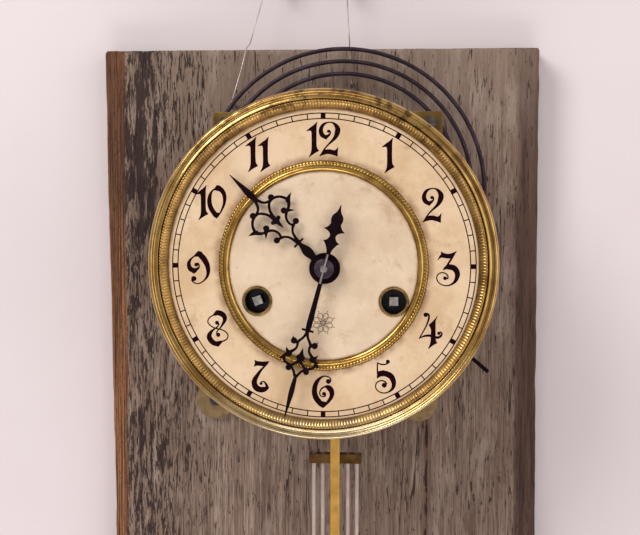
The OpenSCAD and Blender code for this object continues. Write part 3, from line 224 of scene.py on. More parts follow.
def weathered_wood():
    """Grey plank with cracks and rot, a bare brown strip at its left and a dark one at its right"""
    s = Shader("weathered_wood")
    x, z = s.axis("X"), s.axis("Z")
    fibre = s.noise((0.45, 0.6, 17), 5, 0.65)
    streak = s.noise((2.6, 5, 90), 6, 0.65, 0.4, shift=4)
    cloud = s.noise((30, 30, 70), 5, 0.6, shift=9)
    face = s.mix(s.span(streak, 0.3, 0.72), (0.165, 0.106, 0.080), (0.40, 0.295, 0.230))
    face = s.mix(s.span(fibre, 0.42, 0.66, 0, 0.85), face, (0.072, 0.042, 0.035))
    face = s.mix(s.span(cloud, 0.35, 0.7, 0, 0.5), face, (0.24, 0.155, 0.115))
    face = s.mix(s.span(z, 30, 118, 0, 0.5), face, (0.32, 0.235, 0.180))
    face = s.mix(s.span(s.noise((9, 9, 30), 5, 0.6, shift=27), 0.50, 0.68, 0, 0.4), face, (0.44, 0.35, 0.29))
    # Pits run with the grain, many beside the left strip and few at the right
    leftness = s.span(x, -52, -118)
    pit = s.noise((0.9, 2, 8), 4, 0.65, 0.3, shift=12)
    pit = s.calc("ADD", pit, s.calc("MULTIPLY", leftness, 0.085))
    pit = s.calc("ADD", pit, s.calc("MULTIPLY", s.noise((22, 20, 55), 4, shift=21), 0.16))
    pitted = s.span(pit, 0.690, 0.730)
    face = s.mix(s.calc("MULTIPLY", pitted, 0.88), face, (0.026, 0.013, 0.014))
    rot = s.noise((5, 6, 30), 6, 0.7, 0.6, shift=31)
    rot_zone = s.calc("MULTIPLY", s.span(x, -98, -113), s.span(x, -131, -126))
    rot_high = s.span(z, -60, 60, 0.05, 0.14)
    rotted = s.span(s.calc("ADD", rot, s.calc("MULTIPLY", rot_zone, rot_high)), 0.600, 0.655)
    rotted = s.calc("MULTIPLY", rotted, s.span(x, -92, -106))
    face = s.mix(s.calc("MULTIPLY", rotted, 0.9), face, (0.032, 0.018, 0.018))
    # A few long cracks along the grain
    line = s.calc("ABSOLUTE", s.calc("SUBTRACT", s.noise((15, 15, 420), 4, 0.55, shift=43), 0.5))
    broken = s.span(s.noise((20, 20, 60), 3, shift=47), 0.50, 0.58)
    crack = s.calc("MULTIPLY", s.span(line, 0.0055, 0.0015), broken)
    face = s.mix(s.calc("MULTIPLY", crack, 0.9), face, (0.030, 0.016, 0.014))
    # One open split runs down from the right bracket, with a reddish rim
    drift = s.calc("MULTIPLY", s.calc("SUBTRACT", s.noise((8, 8, 26), 4, 0.6, shift=53), 0.5), 5)
    off = s.calc("ABSOLUTE", s.calc("SUBTRACT", s.calc("ADD", x, drift), SPLIT_X))
    below = s.span(z, -72, -84)
    gap = s.calc("ADD", off, s.span(s.noise((4, 4, 9), 4, 0.6, shift=57), 0.40, 0.62, 0, 0.9))
    face = s.mix(s.calc("MULTIPLY", s.span(off, 3.2, 0.4, 0, 0.5), below), face, (0.105, 0.045, 0.034))
    split = s.calc("MULTIPLY", s.span(gap, 1.15, 0.55), below)
    face = s.mix(s.calc("MULTIPLY", split, 0.92), face, (0.028, 0.013, 0.012))
    crack = s.calc("MAXIMUM", crack, split)
    # The strips at the edges, with a slightly wandering border
    wander = s.calc("MULTIPLY", s.calc("SUBTRACT", s.noise((8, 8, 30), 3, shift=17), 0.5), 5)
    edge_x = s.calc("ADD", x, wander)
    brown = s.mix(s.span(s.noise((0.8, 3, 90), 5, 0.65, shift=6), 0.40, 0.60),
                  (0.40, 0.18, 0.080), (0.070, 0.030, 0.020))
    brown = s.mix(s.span(z, -20, 60, 0, 0.65), brown, (0.095, 0.043, 0.026))
    dark = s.mix(s.span(s.noise((2.2, 4, 70), 4, shift=8), 0.35, 0.7),
                 (0.115, 0.064, 0.048), (0.045, 0.023, 0.019))
    left_strip = s.span(edge_x, -127.2, -128.6)
    right_strip = s.calc("MULTIPLY", s.span(edge_x, 101.5, 106.5, 0, 0.9), s.span(z, 125, 50, 0.45, 1.0))
    colour = s.mix(left_strip, face, brown)
    colour = s.mix(right_strip, colour, dark)
    rough = s.span(fibre, 0.3, 0.7, 0.72, 0.95)
    normal = s.bump(fibre, 0.55, 0.35)
    normal = s.bump(streak, 0.5, 0.8, normal)
    hollow = s.calc("MAXIMUM", crack, s.calc("MAXIMUM", pitted, rotted))
    normal = s.bump(s.calc("SUBTRACT", 1.0, hollow), 0.8, 0.7, normal)
    return s.done(colour=colour, rough=rough, specular=0.25, normal=normal)


def enamel(name, colour, warm, inner, outer):
    """Aged cream dial: dirt and painted shade darken its inner and outer edges beside the raised rings
    (radii in millimetres), with clouds, stains, fine specks and lines"""
    s = Shader(name)
    far = s.radius()
    tone = s.mix(s.span(s.noise(22, 6, 0.65), 0.33, 0.68), colour, warm)
    # Dirt and painted shade: darker next to the raised rings at the inner and outer edges
    dirt_and_shade = s.calc("MAXIMUM", s.span(far, inner + 4.5, inner - 0.2), s.span(far, outer - 1.6, outer + 0.2))
    dirt_and_shade = s.calc("MULTIPLY", dirt_and_shade, s.span(s.noise((9, 9, 7), 5, 0.65, shift=3), 0.3, 0.62, 0.12, 0.85))
    tone = s.mix(dirt_and_shade, tone, (0.27, 0.135, 0.050))
    stain = s.calc("MULTIPLY", s.span(s.noise(9, 6, 0.7, shift=11), 0.54, 0.70), 0.5)
    tone = s.mix(stain, tone, (0.50, 0.32, 0.17))
    speck = s.span(s.noise(0.7, 2, 0.5, shift=5), 0.70, 0.78, 0, 0.55)
    tone = s.mix(speck, tone, (0.26, 0.15, 0.08))
    line = s.span(s.noise((1.2, 1, 11), 4, 0.7, 1.2, shift=19), 0.68, 0.74, 0, 0.35)
    tone = s.mix(line, tone, (0.30, 0.19, 0.11))
    rough = s.span(s.noise(8, 4, shift=2), 0.3, 0.7, 0.30, 0.46)
    normal = s.bump(s.noise(5, 3, shift=8), 0.18, 0.06)
    normal = s.bump(s.noise(0.5, 2), 0.06, 0.02, normal)
    return s.done(colour=tone, rough=rough, coat=0.25, coat_rough=0.25, normal=normal)


def ink(name, colour):
    """Matt print, worn paler in places"""
    s = Shader(name)
    worn = s.span(s.noise(1.1, 4, 0.65), 0.62, 0.8, 0, 0.3)
    tone = s.mix(worn, colour, tuple(c * 3 + 0.004 for c in colour))
    return s.done(colour=tone, rough=s.span(s.noise(3), 0.3, 0.7, 0.85, 0.95), specular=0.04)


def iron(name, colour, rough=(0.4, 0.6), grain=0.8, metallic=0.8, specular=0.5, rusty=0.4, bloom=2.2):
    """Dark or dull metal: bloom lightens it in clouds, rusty is the strength of its rust spots"""
    s = Shader(name)
    tone = s.mix(s.span(s.noise(8, 5, 0.65), 0.4, 0.75), colour, tuple(c * bloom for c in colour))
    rust = s.span(s.noise(3.5, 5, 0.7, shift=9), 0.66, 0.76, 0, rusty)
    tone = s.mix(rust, tone, (0.12, 0.05, 0.025))
    normal = s.bump(s.noise(grain, 4), 0.35, 0.06)
    return s.done(colour=tone, rough=s.span(s.noise(4, shift=2), 0.3, 0.7, *rough), metal=metallic,
                  normal=normal, specular=specular)


materials = {
    "weathered_wood": weathered_wood(),
    "bezel_brass": metal("bezel_brass", (0.77, 0.51, 0.18), (0.40, 0.21, 0.055), (0.08, 0.20),
                         22, 0.6, 0.2, turned=True, grime_and_shade=True, spots=0.4, highlight_low=1.0, tarnish=True),
    "milled_brass": metal("milled_brass", (0.64, 0.39, 0.125), (0.24, 0.125, 0.035), (0.20, 0.40),
                          11, 0.65, 0.2, grime_and_shade=True, spots=0.4, highlight_low=0.3, tarnish=True),
    "ring_brass": metal("ring_brass", (0.76, 0.48, 0.13), (0.36, 0.19, 0.045), (0.12, 0.28),
                        14, 0.5, 0.2, grime_and_shade=True, spots=0.3),
    "pale_brass": metal("pale_brass", (0.66, 0.50, 0.24), (0.34, 0.24, 0.11), (0.26, 0.45),
                        11, 0.5, spots=0.3),
    "gilt_brass": metal("gilt_brass", (0.90, 0.55, 0.14), (0.64, 0.36, 0.08), (0.28, 0.42),
                        26, 0.35, spots=0.05),
    "dull_brass": metal("dull_brass", (0.36, 0.23, 0.075), (0.15, 0.09, 0.03), (0.35, 0.55),
                        16, 0.55, spots=0.4),
    "arbor_shaded_brass": metal("arbor_shaded_brass", (0.36, 0.23, 0.075), (0.15, 0.09, 0.03), (0.35, 0.55),
                        16, 0.55, spots=0.4, arbor_shade=True),
    "aged_brass": metal("aged_brass", (0.34, 0.24, 0.12), (0.20, 0.13, 0.065), (0.40, 0.60),
                        8, 0.6, spots=0.4),
    "hole_brass": metal("hole_brass", (0.40, 0.27, 0.10), (0.15, 0.085, 0.03), (0.25, 0.45),
                        4, 0.5, spots=0.4),
    "dark_brass": metal("dark_brass", (0.19, 0.105, 0.035), (0.075, 0.036, 0.012), (0.34, 0.55),
                        9, 0.5, spots=0.35),
    "steel": metal("steel", (0.60, 0.59, 0.58), (0.30, 0.27, 0.24), (0.22, 0.42), 5, 0.45, spots=0.3),
    "square_steel": metal("square_steel", (0.72, 0.70, 0.68), (0.40, 0.37, 0.34), (0.22, 0.42),
                          3, 0.4, spots=0.3, shade_behind_y=WINDING_SHADE_Y),
    "dark_steel": metal("dark_steel", (0.20, 0.18, 0.18), (0.06, 0.05, 0.05), (0.30, 0.50),
                        6, 0.5, spots=0.4),
    "spring_steel": metal("spring_steel", (0.34, 0.35, 0.38), (0.14, 0.12, 0.12), (0.25, 0.42),
                          7, 0.45, spots=0.3),
    "wire_steel": metal("wire_steel", (0.60, 0.54, 0.50), (0.24, 0.19, 0.17), (0.30, 0.48), 40, 0.4),
    "rod_zinc": iron("rod_zinc", (0.50, 0.41, 0.375), (0.50, 0.65), 1.0, 0.15, 0.4, 0.1, 1.25),
    "blued_steel": iron("blued_steel", (0.0050, 0.0012, 0.0028), (0.50, 0.65), 1.2, 0.0, 0.06, 0.05),
    "gong_steel": iron("gong_steel", (0.034, 0.022, 0.031), (0.42, 0.60), 1.0, 0.5, 0.35),
    "cast_iron": iron("cast_iron", (0.022, 0.020, 0.021), (0.5, 0.75), 0.9, 0.6),
    "hub_steel": iron("hub_steel", (0.075, 0.055, 0.075), (0.20, 0.36), 1.5, 0.85, 0.5, 0.3),
    "chapter_cream": enamel("chapter_cream", (0.82, 0.62, 0.41), (0.68, 0.47, 0.27), 54.4, 80.8),
    "centre_pearl": enamel("centre_pearl", (0.82, 0.655, 0.47), (0.70, 0.53, 0.36), 0.0, 48.9),
    "dial_ink": ink("dial_ink", (0.012, 0.002, 0.004)),
    "faded_ink": ink("faded_ink", (0.060, 0.034, 0.018)),
}


# ---------------------------------------------------------------- mesh tools
def build(name, verts, faces, material, body, smooth=True, shade=None):
    """verts in millimetres; shade gives the grime and painted shade on each vertex"""
    data = bpy.data.meshes.new(name)
    data.from_pydata([tuple(c * MM for c in v) for v in verts], [], faces)
    if shade:
        layer = data.color_attributes.new("grime_and_shade", "FLOAT_COLOR", "POINT")
        for k, level in enumerate(shade):
            layer.data[k].color = (level, level, level, 1)
    shell = bmesh.new()
    shell.from_mesh(data)
    bmesh.ops.recalc_face_normals(shell, faces=shell.faces)
    shell.to_mesh(data)
    shell.free()
    data.materials.append(materials[material])
    for face in data.polygons:
        face.use_smooth = smooth
    piece = linked(name, data)
    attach(piece, body)
    return piece


def spun(name, profile, steps, material, centre, shape, grime_and_shade):
    """A closed profile of (r, y) turned about the centre, with the grime and painted shade on each of its
    points;
    shape(j, r, y, angle, level) gives the point and its grime and painted shade at that angle"""
    verts, faces, shade = [], [], []
    count = len(profile)
    for k in range(steps):
        angle = k * TURN / steps
        for j, (r, y) in enumerate(profile):
            r, y, level = shape(j, r, y, angle, grime_and_shade[j])
            verts.append((centre[0] + r * math.cos(angle), y, centre[1] + r * math.sin(angle)))
            shade.append(level)
    for k in range(steps):
        a, b = k * count, (k + 1) % steps * count
        for j in range(count):
            n = (j + 1) % count
            faces.append((a + j, a + n, b + n, b + j))
    return build(name, verts, faces, material, "case", shade=shade)


def rounded(points, fineness=6, closed=True):
    """A smooth line through the points; a point with a third value above 0 keeps its corner"""
    count = len(points)
    line = []
    for k in range(count if closed else count - 1):
        b, c = points[k], points[(k + 1) % count]
        a = b if len(b) > 2 or (not closed and k == 0) else points[k - 1]
        d = c if len(c) > 2 or (not closed and k == count - 2) else points[(k + 2) % count]
        for i in range(fineness):
            t = i / fineness
            line.append(tuple(
                0.5 * (2 * b[m] + (c[m] - a[m]) * t + (2 * a[m] - 5 * b[m] + 4 * c[m] - d[m]) * t * t
                       + (3 * b[m] - a[m] - 3 * c[m] + d[m]) * t ** 3) for m in (0, 1)))
    if not closed:
        line.append(tuple(points[-1][:2]))
    return line


def ribbon(points, fineness=6):
    """The left and right edges of a stroke through (x, y, width)"""
    line = rounded([p[:2] for p in points], fineness, False)
    widths = rounded([(k, p[2]) for k, p in enumerate(points)], fineness, False)
    left, right = [], []
    for k, (x, y) in enumerate(line):
        a, b = line[max(k - 1, 0)], line[min(k + 1, len(line) - 1)]
        run = math.hypot(b[0] - a[0], b[1] - a[1]) or 1
        nx, ny = (a[1] - b[1]) / run, (b[0] - a[0]) / run
        half = max(widths[k][1], 0.1) / 2
        left.append((x + nx * half, y + ny * half))
        right.append((x - nx * half, y - ny * half))
    return left, right


class Print:
    """Flat ink laid on the dial as thin closed plates, each a hair above the last"""

    def __init__(self, y, centre=DIAL_AT):
        self.y = y
        self.centre = centre
        self.verts = []
        self.faces = []
        self.layer = 0

    def solid(self, outline, front_faces):
        """A thin plate with this outline; front_faces index it"""
        y_back = self.y + 0.01
        y_front = self.y - 0.03 - 0.0015 * (self.layer % 12)
        self.layer += 1
        start, n = len(self.verts), len(outline)
        for y in (y_back, y_front):
            self.verts += [(self.centre[0] + x, y, self.centre[1] + z) for x, z in outline]
        self.faces += [tuple(start + i for i in f) for f in front_faces]
        self.faces += [tuple(start + n + i for i in f) for f in front_faces]
        for i in range(n):
            k = (i + 1) % n
            self.faces.append((start + i, start + k, start + n + k, start + n + i))

    def area(self, outline):
        self.solid(outline, tessellate_polygon([[Vector((x, z, 0)) for x, z in outline]]))

    def stroke(self, points, fineness=6):
        left, right = ribbon(points, fineness)
        n = len(left)
        outline = left + right[::-1]
        self.solid(outline, [(i, i + 1, 2 * n - 2 - i, 2 * n - 1 - i) for i in range(n - 1)])

    def dot(self, x, z, r, sides=20):
        angles = [k * TURN / sides for k in range(sides)]
        self.area([(x + r * math.cos(a), z + r * math.sin(a)) for a in angles])

    def circle(self, r, width, steps=240):
        """A ring in quarter strips"""
        for q in range(4):
            arc = [(q + k / (steps // 4)) * TURN / 4 for k in range(steps // 4 + 1)]
            outer = [((r + width / 2) * math.cos(a), (r + width / 2) * math.sin(a)) for a in arc]
            inner = [((r - width / 2) * math.cos(a), (r - width / 2) * math.sin(a)) for a in arc]
            n = len(arc)
            self.solid(outer + inner[::-1], [(i, i + 1, 2 * n - 2 - i, 2 * n - 1 - i) for i in range(n - 1)])

    def piece(self, name, material):
        return build(name, self.verts, self.faces, material, "case", smooth=False)


# ---------------------------------------------------------------- the hanging wire
wire_route = [
    (-62, -28, 93.3), (-61, -27, 97), (-57, -24.2, 112), (-54.6, -23.5, 122.5), (-54, -21.5, 124.2),
    (-53, -18, 126), (-49.7, -16.9, 138), (-45.9, -15.6, 152), (-42.8, -14.7, 163), (-42, -14.5, 166.4),
    (-41.1, -14.4, 168.2), (-39.3, -14.4, 168.9), (-30, -14.4, 168.9), (-20, -14.4, 168.9),
    (-10, -14.4, 168.9), (1, -14.4, 168.9), (2.7, -14.4, 168.2), (3.6, -14.5, 166.4), (3.9, -14.7, 163),
    (4.6, -15.6, 152), (5.4, -16.9, 138), (6.2, -18, 126), (6.4, -21.5, 124.2), (6.5, -23.5, 122.5),
    (7.3, -25, 114), (8, -28, 105.3),
]
wire_line = bpy.data.curves.new("wire", "CURVE")
wire_line.dimensions = "3D"
wire_line.bevel_depth = WIRE_R * MM
wire_line.bevel_resolution = 3
wire_line.use_fill_caps = True
strand = wire_line.splines.new("POLY")
strand.points.add(len(wire_route) - 1)
for point, place in zip(strand.points, wire_route):
    point.co = (*(c * MM for c in place), 1)
wire_line.materials.append(materials["wire_steel"])
wire = linked("wire", wire_line)
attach(wire, "case")
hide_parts("hanging_wire")


# ---------------------------------------------------------------- the plank
def make_plank():
    """The board as stacked outlines, worn by noise, with softened front edges and a leaning left edge"""
    low, high = ([c / MM for c in corner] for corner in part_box("backboard"))
    corner_r, step = 1.6, 1.1
    side_steps, back_steps, rings = 9, 24, 240
    flat = high[0] - low[0] - 2 * corner_r
    depth = high[1] - low[1] - corner_r
    across = int(flat / step)
    # The outline runs along the front, up the right side, along the back and down the left side
    outline = []
    for k in range(across + 1):
        outline.append((low[0] + corner_r + flat * k / across, low[1]))
    for k in range(1, 4):
        turn_x, turn_y = math.sin(k * math.pi / 8), math.cos(k * math.pi / 8)
        outline.append((high[0] - corner_r + corner_r * turn_x, low[1] + corner_r - corner_r * turn_y))
    for k in range(side_steps + 1):
        outline.append((high[0], low[1] + corner_r + depth * k / side_steps))
    for k in range(1, back_steps):
        outline.append((high[0] + (low[0] - high[0]) * k / back_steps, high[1]))
    for k in range(side_steps + 1):
        outline.append((low[0], high[1] - depth * k / side_steps))
    for k in range(1, 4):
        turn_x, turn_y = math.cos(k * math.pi / 8), math.sin(k * math.pi / 8)
        outline.append((low[0] + corner_r - corner_r * turn_x, low[1] + corner_r - corner_r * turn_y))
    mid_x, mid_y = (low[0] + high[0]) / 2, (low[1] + high[1]) / 2
    verts, faces = [], []
    for j in range(rings + 1):
        z = low[2] + (high[2] - low[2]) * j / rings
        at_end = j in (0, rings)
        for x, y in outline:
            on_back = y > high[1] - 0.5
            groove = noise.noise(Vector((x / 1.9, y / 1.9, z / 40)))
            pit = noise.noise(Vector((x / 3.5 + 7, y / 3.5, z / 16)))
            swell = noise.noise(Vector((x / 30, y / 20, z / 70 + 3)))
            ragged = noise.noise(Vector((x / 9 + 3, y / 9, z / 13)))
            worn = 0.30 * (groove + 0.6) + 0.9 * max(0.0, pit - 0.25) + 0.3 * (swell + 0.5)
            worn = max(0.0, worn) * (0.35 if on_back else 1.0)
            px, py, pz = x, y, z
            if y < low[1] + corner_r and low[0] + corner_r < x < high[0] - corner_r:
                py += worn
            elif on_back:
                py -= 0.3 * worn
            if x < low[0] + corner_r:
                px += worn + 0.5 * max(0.0, ragged)
            elif x > high[0] - corner_r:
                px -= worn + 0.5 * max(0.0, ragged)
            # The left edge leans: further out at the top than lower down
            lean = min(1.3, (high[2] - z) * 0.0152 - 2.8)
            px += lean * max(0.0, (mid_x - x) / (mid_x - low[0]))
            if at_end:
                pz += (0.6 + 0.8 * abs(ragged)) * (1 if j == 0 else -1)
                px += (mid_x - px) * 0.006
                py += (mid_y - py) * 0.07
            verts.append((px, py, pz))
    n = len(outline)
    for j in range(rings):
        for k in range(n):
            m = (k + 1) % n
            faces.append((j * n + k, j * n + m, (j + 1) * n + m, (j + 1) * n + k))
    faces.append(tuple(range(n)))
    faces.append(tuple(rings * n + k for k in range(n)))
    plank = build("plank", verts, faces, "weathered_wood", "case")
    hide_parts("backboard")


make_plank()


# ---------------------------------------------------------------- bezel and rings
def make_bezel():
    """A narrow bright rim, a cove inside it painted brown as a reflection of the wood and a step down to the
    milled ring painted dark as shade
    """
    profile = [(85.3, -118.1), (89.7, -118.1), (90.5, -118.6), (90.7, -120.0), (90.7, -125.2),
               (90.78, -126.8), (90.72, -128.2), (90.4, -129.3), (89.9, -130.0), (89.2, -130.3),
               (88.6, -130.1), (88.25, -129.5), (87.8, -129.0), (87.2, -128.85), (86.6, -128.95),
               (86.1, -129.25), (85.7, -129.3), (85.45, -129.0), (85.3, -128.5), (85.25, -128.0),
               (85.25, -124.0)]
    # Grime and painted light for each profile point: the cove's brown is a painted reflection of the wood,
    # and the back and the step down are painted shade
    grime_and_shade = [0.6, 0.4, 0.2, 0.1, 0.1, 0.0, 0.0, 0.0, 0.0, 0.0, 0.15, 0.5, 0.55, 0.45, 0.35, 0.3, 0.45,
             0.8, 0.95, 1.0, 0.8]

    def shape(j, r, y, angle, level):
        way = Vector((math.cos(angle) * 3, math.sin(angle) * 3, j * 0.12))
        dent = noise.noise(way * 1.7)
        level = min(1.0, max(0.0, level + 0.25 * noise.noise(way * 4) + 0.25 * max(0.0, dent)))
        return r - 0.06 * max(0.0, dent), y + 0.10 * noise.noise(way), level

    piece = spun("bezel_turned", profile, 360, "bezel_brass", BEZEL_AT, shape, grime_and_shade)
    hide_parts("bezel")


def make_milled_ring():
    """A rounded band cut across by fine ridges"""
    low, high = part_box("milled_ring")
    y_front, y_back = low[1] / MM, high[1] / MM
    ridges = 340
    profile = [(80.35, y_back), (85.15, y_back), (85.15, y_front + 0.9), (84.8, y_front + 0.5),
               (84.3, y_front + 0.25), (83.5, y_front + 0.4), (82.6, y_front + 0.85),
               (81.8, y_front + 1.4), (81.1, y_front + 2.0), (80.65, y_front + 2.5),
               (80.4, y_front + 2.9)]
    cut = [0, 0, 0.2, 0.7, 1, 1, 1, 1, 0.8, 0.3, 0]
    # Grime and painted shade for each profile point, heaviest on the side wall beside the bezel's step
    base = [0.5, 0.5, 0.9, 0.5, 0.15, 0.0, 0.0, 0.1, 0.25, 0.5, 0.8]

    def shape(j, r, y, angle, level):
        ridge = 0.5 - 0.5 * math.cos(angle * ridges)
        worn = 0.75 + 0.25 * noise.noise(Vector((math.cos(angle) * 6, math.sin(angle) * 6, 1)))
        # Grime and painted shade in the grooves between the ridges
        level = level + 0.75 * cut[j] * ridge ** 1.5 * worn
        return r, y + 0.32 * cut[j] * ridge * worn, min(1.0, level)

    piece = spun("milled_band", profile, ridges * 5, "milled_brass", BEZEL_AT, shape, base)
    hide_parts("milled_ring")


def make_inner_ring():
    """Polished half-round inside, roped bead outside"""
    beads = 190
    profile = [(48.85, -125.9), (54.3, -125.9), (54.35, -126.3), (54.1, -126.75), (53.5, -127.05),
               (52.8, -127.0), (52.35, -126.7), (52.1, -126.55), (51.8, -126.95), (51.3, -127.35),
               (50.6, -127.48), (49.9, -127.3), (49.3, -126.85), (48.95, -126.35)]
    rope = [0, 0, 0.5, 1, 1, 1, 0.5, 0, 0, 0, 0, 0, 0, 0]
    # Grime and painted shade for each profile point, heaviest in the crease between the bead and the
    # half-round and at the inner edge
    base = [0.6, 0.6, 0.8, 0.3, 0.05, 0.1, 0.5, 0.95, 0.35, 0.0, 0.0, 0.0, 0.25, 0.75]

    def shape(j, r, y, angle, level):
        twist = 0.5 - 0.5 * math.cos(angle * beads + (r - 53.2) * 2.2)
        cloud = noise.noise(Vector((math.cos(angle) * 5, math.sin(angle) * 5, j * 0.1)))
        # Grime and painted shade between the beads
        level = level + 0.7 * rope[j] * twist ** 1.4 + 0.2 * cloud
        return r, y + 0.24 * rope[j] * twist, min(1.0, max(0.0, level))

    piece = spun("roped_ring", profile, beads * 7, "ring_brass", DIAL_AT, shape, base)
    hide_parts("inner_ring")


make_bezel()
make_milled_ring()
make_inner_ring()


# ---------------------------------------------------------------- the print on the dial
# Each numeral is drawn in hundredths of its height, x to the right and y down from its top.
# S is a stroke through (x, y, width), O an outline whose points marked 1 are corners, B a ball (x, y, r).
ONE = [
    ("O", [(32, 0, 1), (30, 12), (29.5, 32), (29.5, 60), (31, 76), (37, 85, 1), (22, 93.5), (8, 103.5, 1),
           (14, 90), (16, 76), (16, 46), (15.5, 31), (12, 25.5), (0, 27, 1), (12, 17), (23, 9)]),
]
TWO = [
    ("S", [(30, 24, 2.4), (34, 29, 2.8), (33, 35, 4), (27, 41, 7), (19, 44, 10), (10, 38.5, 12),
           (6, 28, 11.5), (8, 16.5, 9.5), (15, 7, 6.5), (27, 1.8, 3), (39, 2.2, 3.4), (49, 9, 8.5),
           (55.5, 20.5, 13.5), (54.5, 32, 14), (49, 45, 10), (39, 56.5, 6), (27, 68, 3.6), (16, 81, 3),
           (7, 95, 2.6)]),
    ("O", [(11, 44), (21.5, 52, 1), (28, 43), (20, 40)]),
    ("O", [(2, 100.5, 1), (11.5, 88), (17, 82.5), (33, 81.5), (46, 84.5), (52.5, 80.5), (56.5, 74.5, 1),
           (55.5, 88), (55, 101.5, 1), (42, 97), (27, 94), (13, 97)]),
    ("B", 28.5, 28, 4.6),
]
THREE = [
    ("O", [(13, 1, 1), (23, 6), (34.5, 8), (47.5, 5), (59, -0.5, 1), (50, 12.5), (41.5, 19.5), (28.5, 20),
           (17, 18), (10, 20), (4, 26.5, 1), (9, 15), (14, 7.5)]),
    ("S", [(55, 3, 3), (47, 16, 5), (38, 31, 4.6), (30, 43, 3.4), (21, 54, 2)]),
    ("S", [(19.5, 55.5, 1), (27, 49, 8), (39, 46.5, 14), (51.5, 49.5, 15), (60, 60, 14.5),
           (61.5, 72.5, 12.5), (56, 87, 8.5), (46, 96.5, 4.6), (31.5, 101.5, 2.8), (16, 98.5, 2.4),
           (5, 90, 2.4), (1, 78.5, 2.4), (5, 68, 2.4), (16, 63, 2.4), (27, 65.5, 2.6), (34, 73, 3),
           (32.5, 82, 3)]),
    ("O", [(26, 47), (36, 39, 1), (45, 40), (40, 50)]),
    ("B", 25.5, 79.5, 5.6),
]
FOUR = [
    ("B", 20.5, 7.7, 6.6),
    ("S", [(24, 2.5, 3), (30, 9, 4.5), (29, 22, 4.4), (22, 41, 3.2), (12, 60, 2.6), (2, 78.5, 2.6)]),
    ("S", [(1.5, 78.8, 1.5), (10, 73.5, 3), (20, 70.3, 5), (33, 69.5, 6), (45, 73.5, 6), (54, 75, 6.5),
           (62, 73, 6), (67.5, 67, 4.6), (68, 61, 3.2), (62, 57.5, 2.6)]),
    ("B", 59.5, 62.5, 5),
    ("O", [(55.5, 11.5, 1), (50, 24), (49, 42), (49.5, 67), (50, 81), (54, 91.5, 1), (42, 98),
           (28.5, 109, 1), (33, 98), (36, 85), (36.5, 67), (36.5, 50), (30, 38, 1), (42, 27), (50, 18)]),
]
FIVE = [
    ("B", 37.6, 6, 6),
    ("S", [(38, 11, 3), (27, 14.6, 3.2), (15, 13.6, 3.2), (6.5, 9, 2.4)]),
    ("S", [(7, 8.5, 2.6), (6.5, 25, 3), (7, 42, 3.2)]),
    ("O", [(6, 36.5, 1), (18, 33.8), (27, 33.6), (27, 47.5), (15, 50.5), (5.5, 56.5, 1)]),
    ("S", [(20, 41, 14), (33, 42.5, 15.5), (46.5, 49.5, 15.5), (54, 63, 13.5), (55, 77, 10),
           (49.5, 89, 6.4), (39, 97, 3.2), (25.5, 100, 2.6), (12, 96.5, 2.4), (3, 87.5, 2.4),
           (1.5, 77, 2.4), (7.5, 67, 2.6), (19.5, 63, 3), (30, 66.5, 3.4), (34, 74, 3.6)]),
    ("B", 27, 76.5, 7.4),
]
SIX = [
    ("B", 48.5, 17, 7.4),
    ("S", [(56, 17, 2.6), (54.5, 8, 2.6), (46.5, 2.6, 2.8), (34, 1.8, 3.2), (22, 9, 7), (12.5, 21.5, 11),
           (7.5, 38, 13.4), (7.5, 54, 14.4), (12.5, 68, 15.4), (22, 80, 14), (31.5, 88, 9)]),
    ("O", [(16.5, 70), (30, 77), (45, 79.5), (54.5, 76), (44, 87), (33, 97, 1), (19, 88.5), (8, 74)]),
    ("S", [(40, 31.5, 6), (50, 36, 14), (57.5, 45, 14), (59, 57, 12), (55, 68, 9.5), (47, 78.5, 7.4),
           (36, 91, 3)]),
    ("S", [(44, 31, 4), (31, 36.5, 3.8), (24, 46, 3), (23, 56, 2.6), (30, 63, 2.6), (38, 62, 2.6),
           (41, 55, 2.8)]),
    ("B", 35.5, 54.5, 6),
]
SEVEN = [
    ("O", [(10, 0, 1), (17, 3.5), (31, 5), (43.5, 4.5), (53, 3.5, 1), (47.5, 12.5), (40.5, 18), (28, 17),
           (15.5, 16.5), (7.5, 20, 1), (10.5, 10)]),
    ("S", [(49, 8, 4), (39, 19, 4.4), (28, 31, 6), (18, 45, 9.4), (10, 59, 13), (8.5, 71, 15),
           (14, 83, 16.5), (26.5, 89, 15.6), (39, 87.5, 13.6), (48, 84, 7.4), (53, 82.5, 1)]),
    ("S", [(47, 82, 8), (45, 75, 6), (40, 67, 4), (34, 64.3, 3), (29, 66, 2.4)]),
    ("B", 28.5, 70.5, 4.6),
]
EIGHT = [
    ("S", [(22, 9.5, 4), (32, 6.5, 13), (45.5, 11, 14.5), (53, 20, 12.5), (52.5, 30.5, 9.4), (47, 41, 6),
           (39.5, 52, 3.2), (30.5, 62, 2.8), (28, 70, 2.8)]),
    ("B", 33.5, 73, 6.4),
    ("S", [(22, 13, 2.8), (11, 18.5, 2.8), (3.5, 27.5, 2.6), (3.5, 38, 2.6), (14, 48, 2.8), (27.5, 54, 2.8),
           (42.5, 57, 2.8), (56, 64, 2.6), (63, 74.5, 2.6), (58, 86.5, 2.8), (44, 93.5, 3.4)]),
    ("S", [(35, 37, 2.6), (35, 42, 2.8), (30.5, 49.5, 3.4), (20, 57, 4.2), (11, 65.5, 8.6), (6, 77.5, 13),
           (11, 89.5, 14.5), (21.5, 98.5, 13.4), (33.5, 100, 9.4), (44, 94, 4)]),
    ("B", 30, 36.5, 6),
    ("O", [(17, 94.5), (30.5, 93), (44, 91.5), (38, 103.5), (33.5, 108, 1), (21, 104.5)]),
    ("O", [(18.5, 14), (27.5, 0, 1), (38, 1), (33.5, 12.5)]),
]
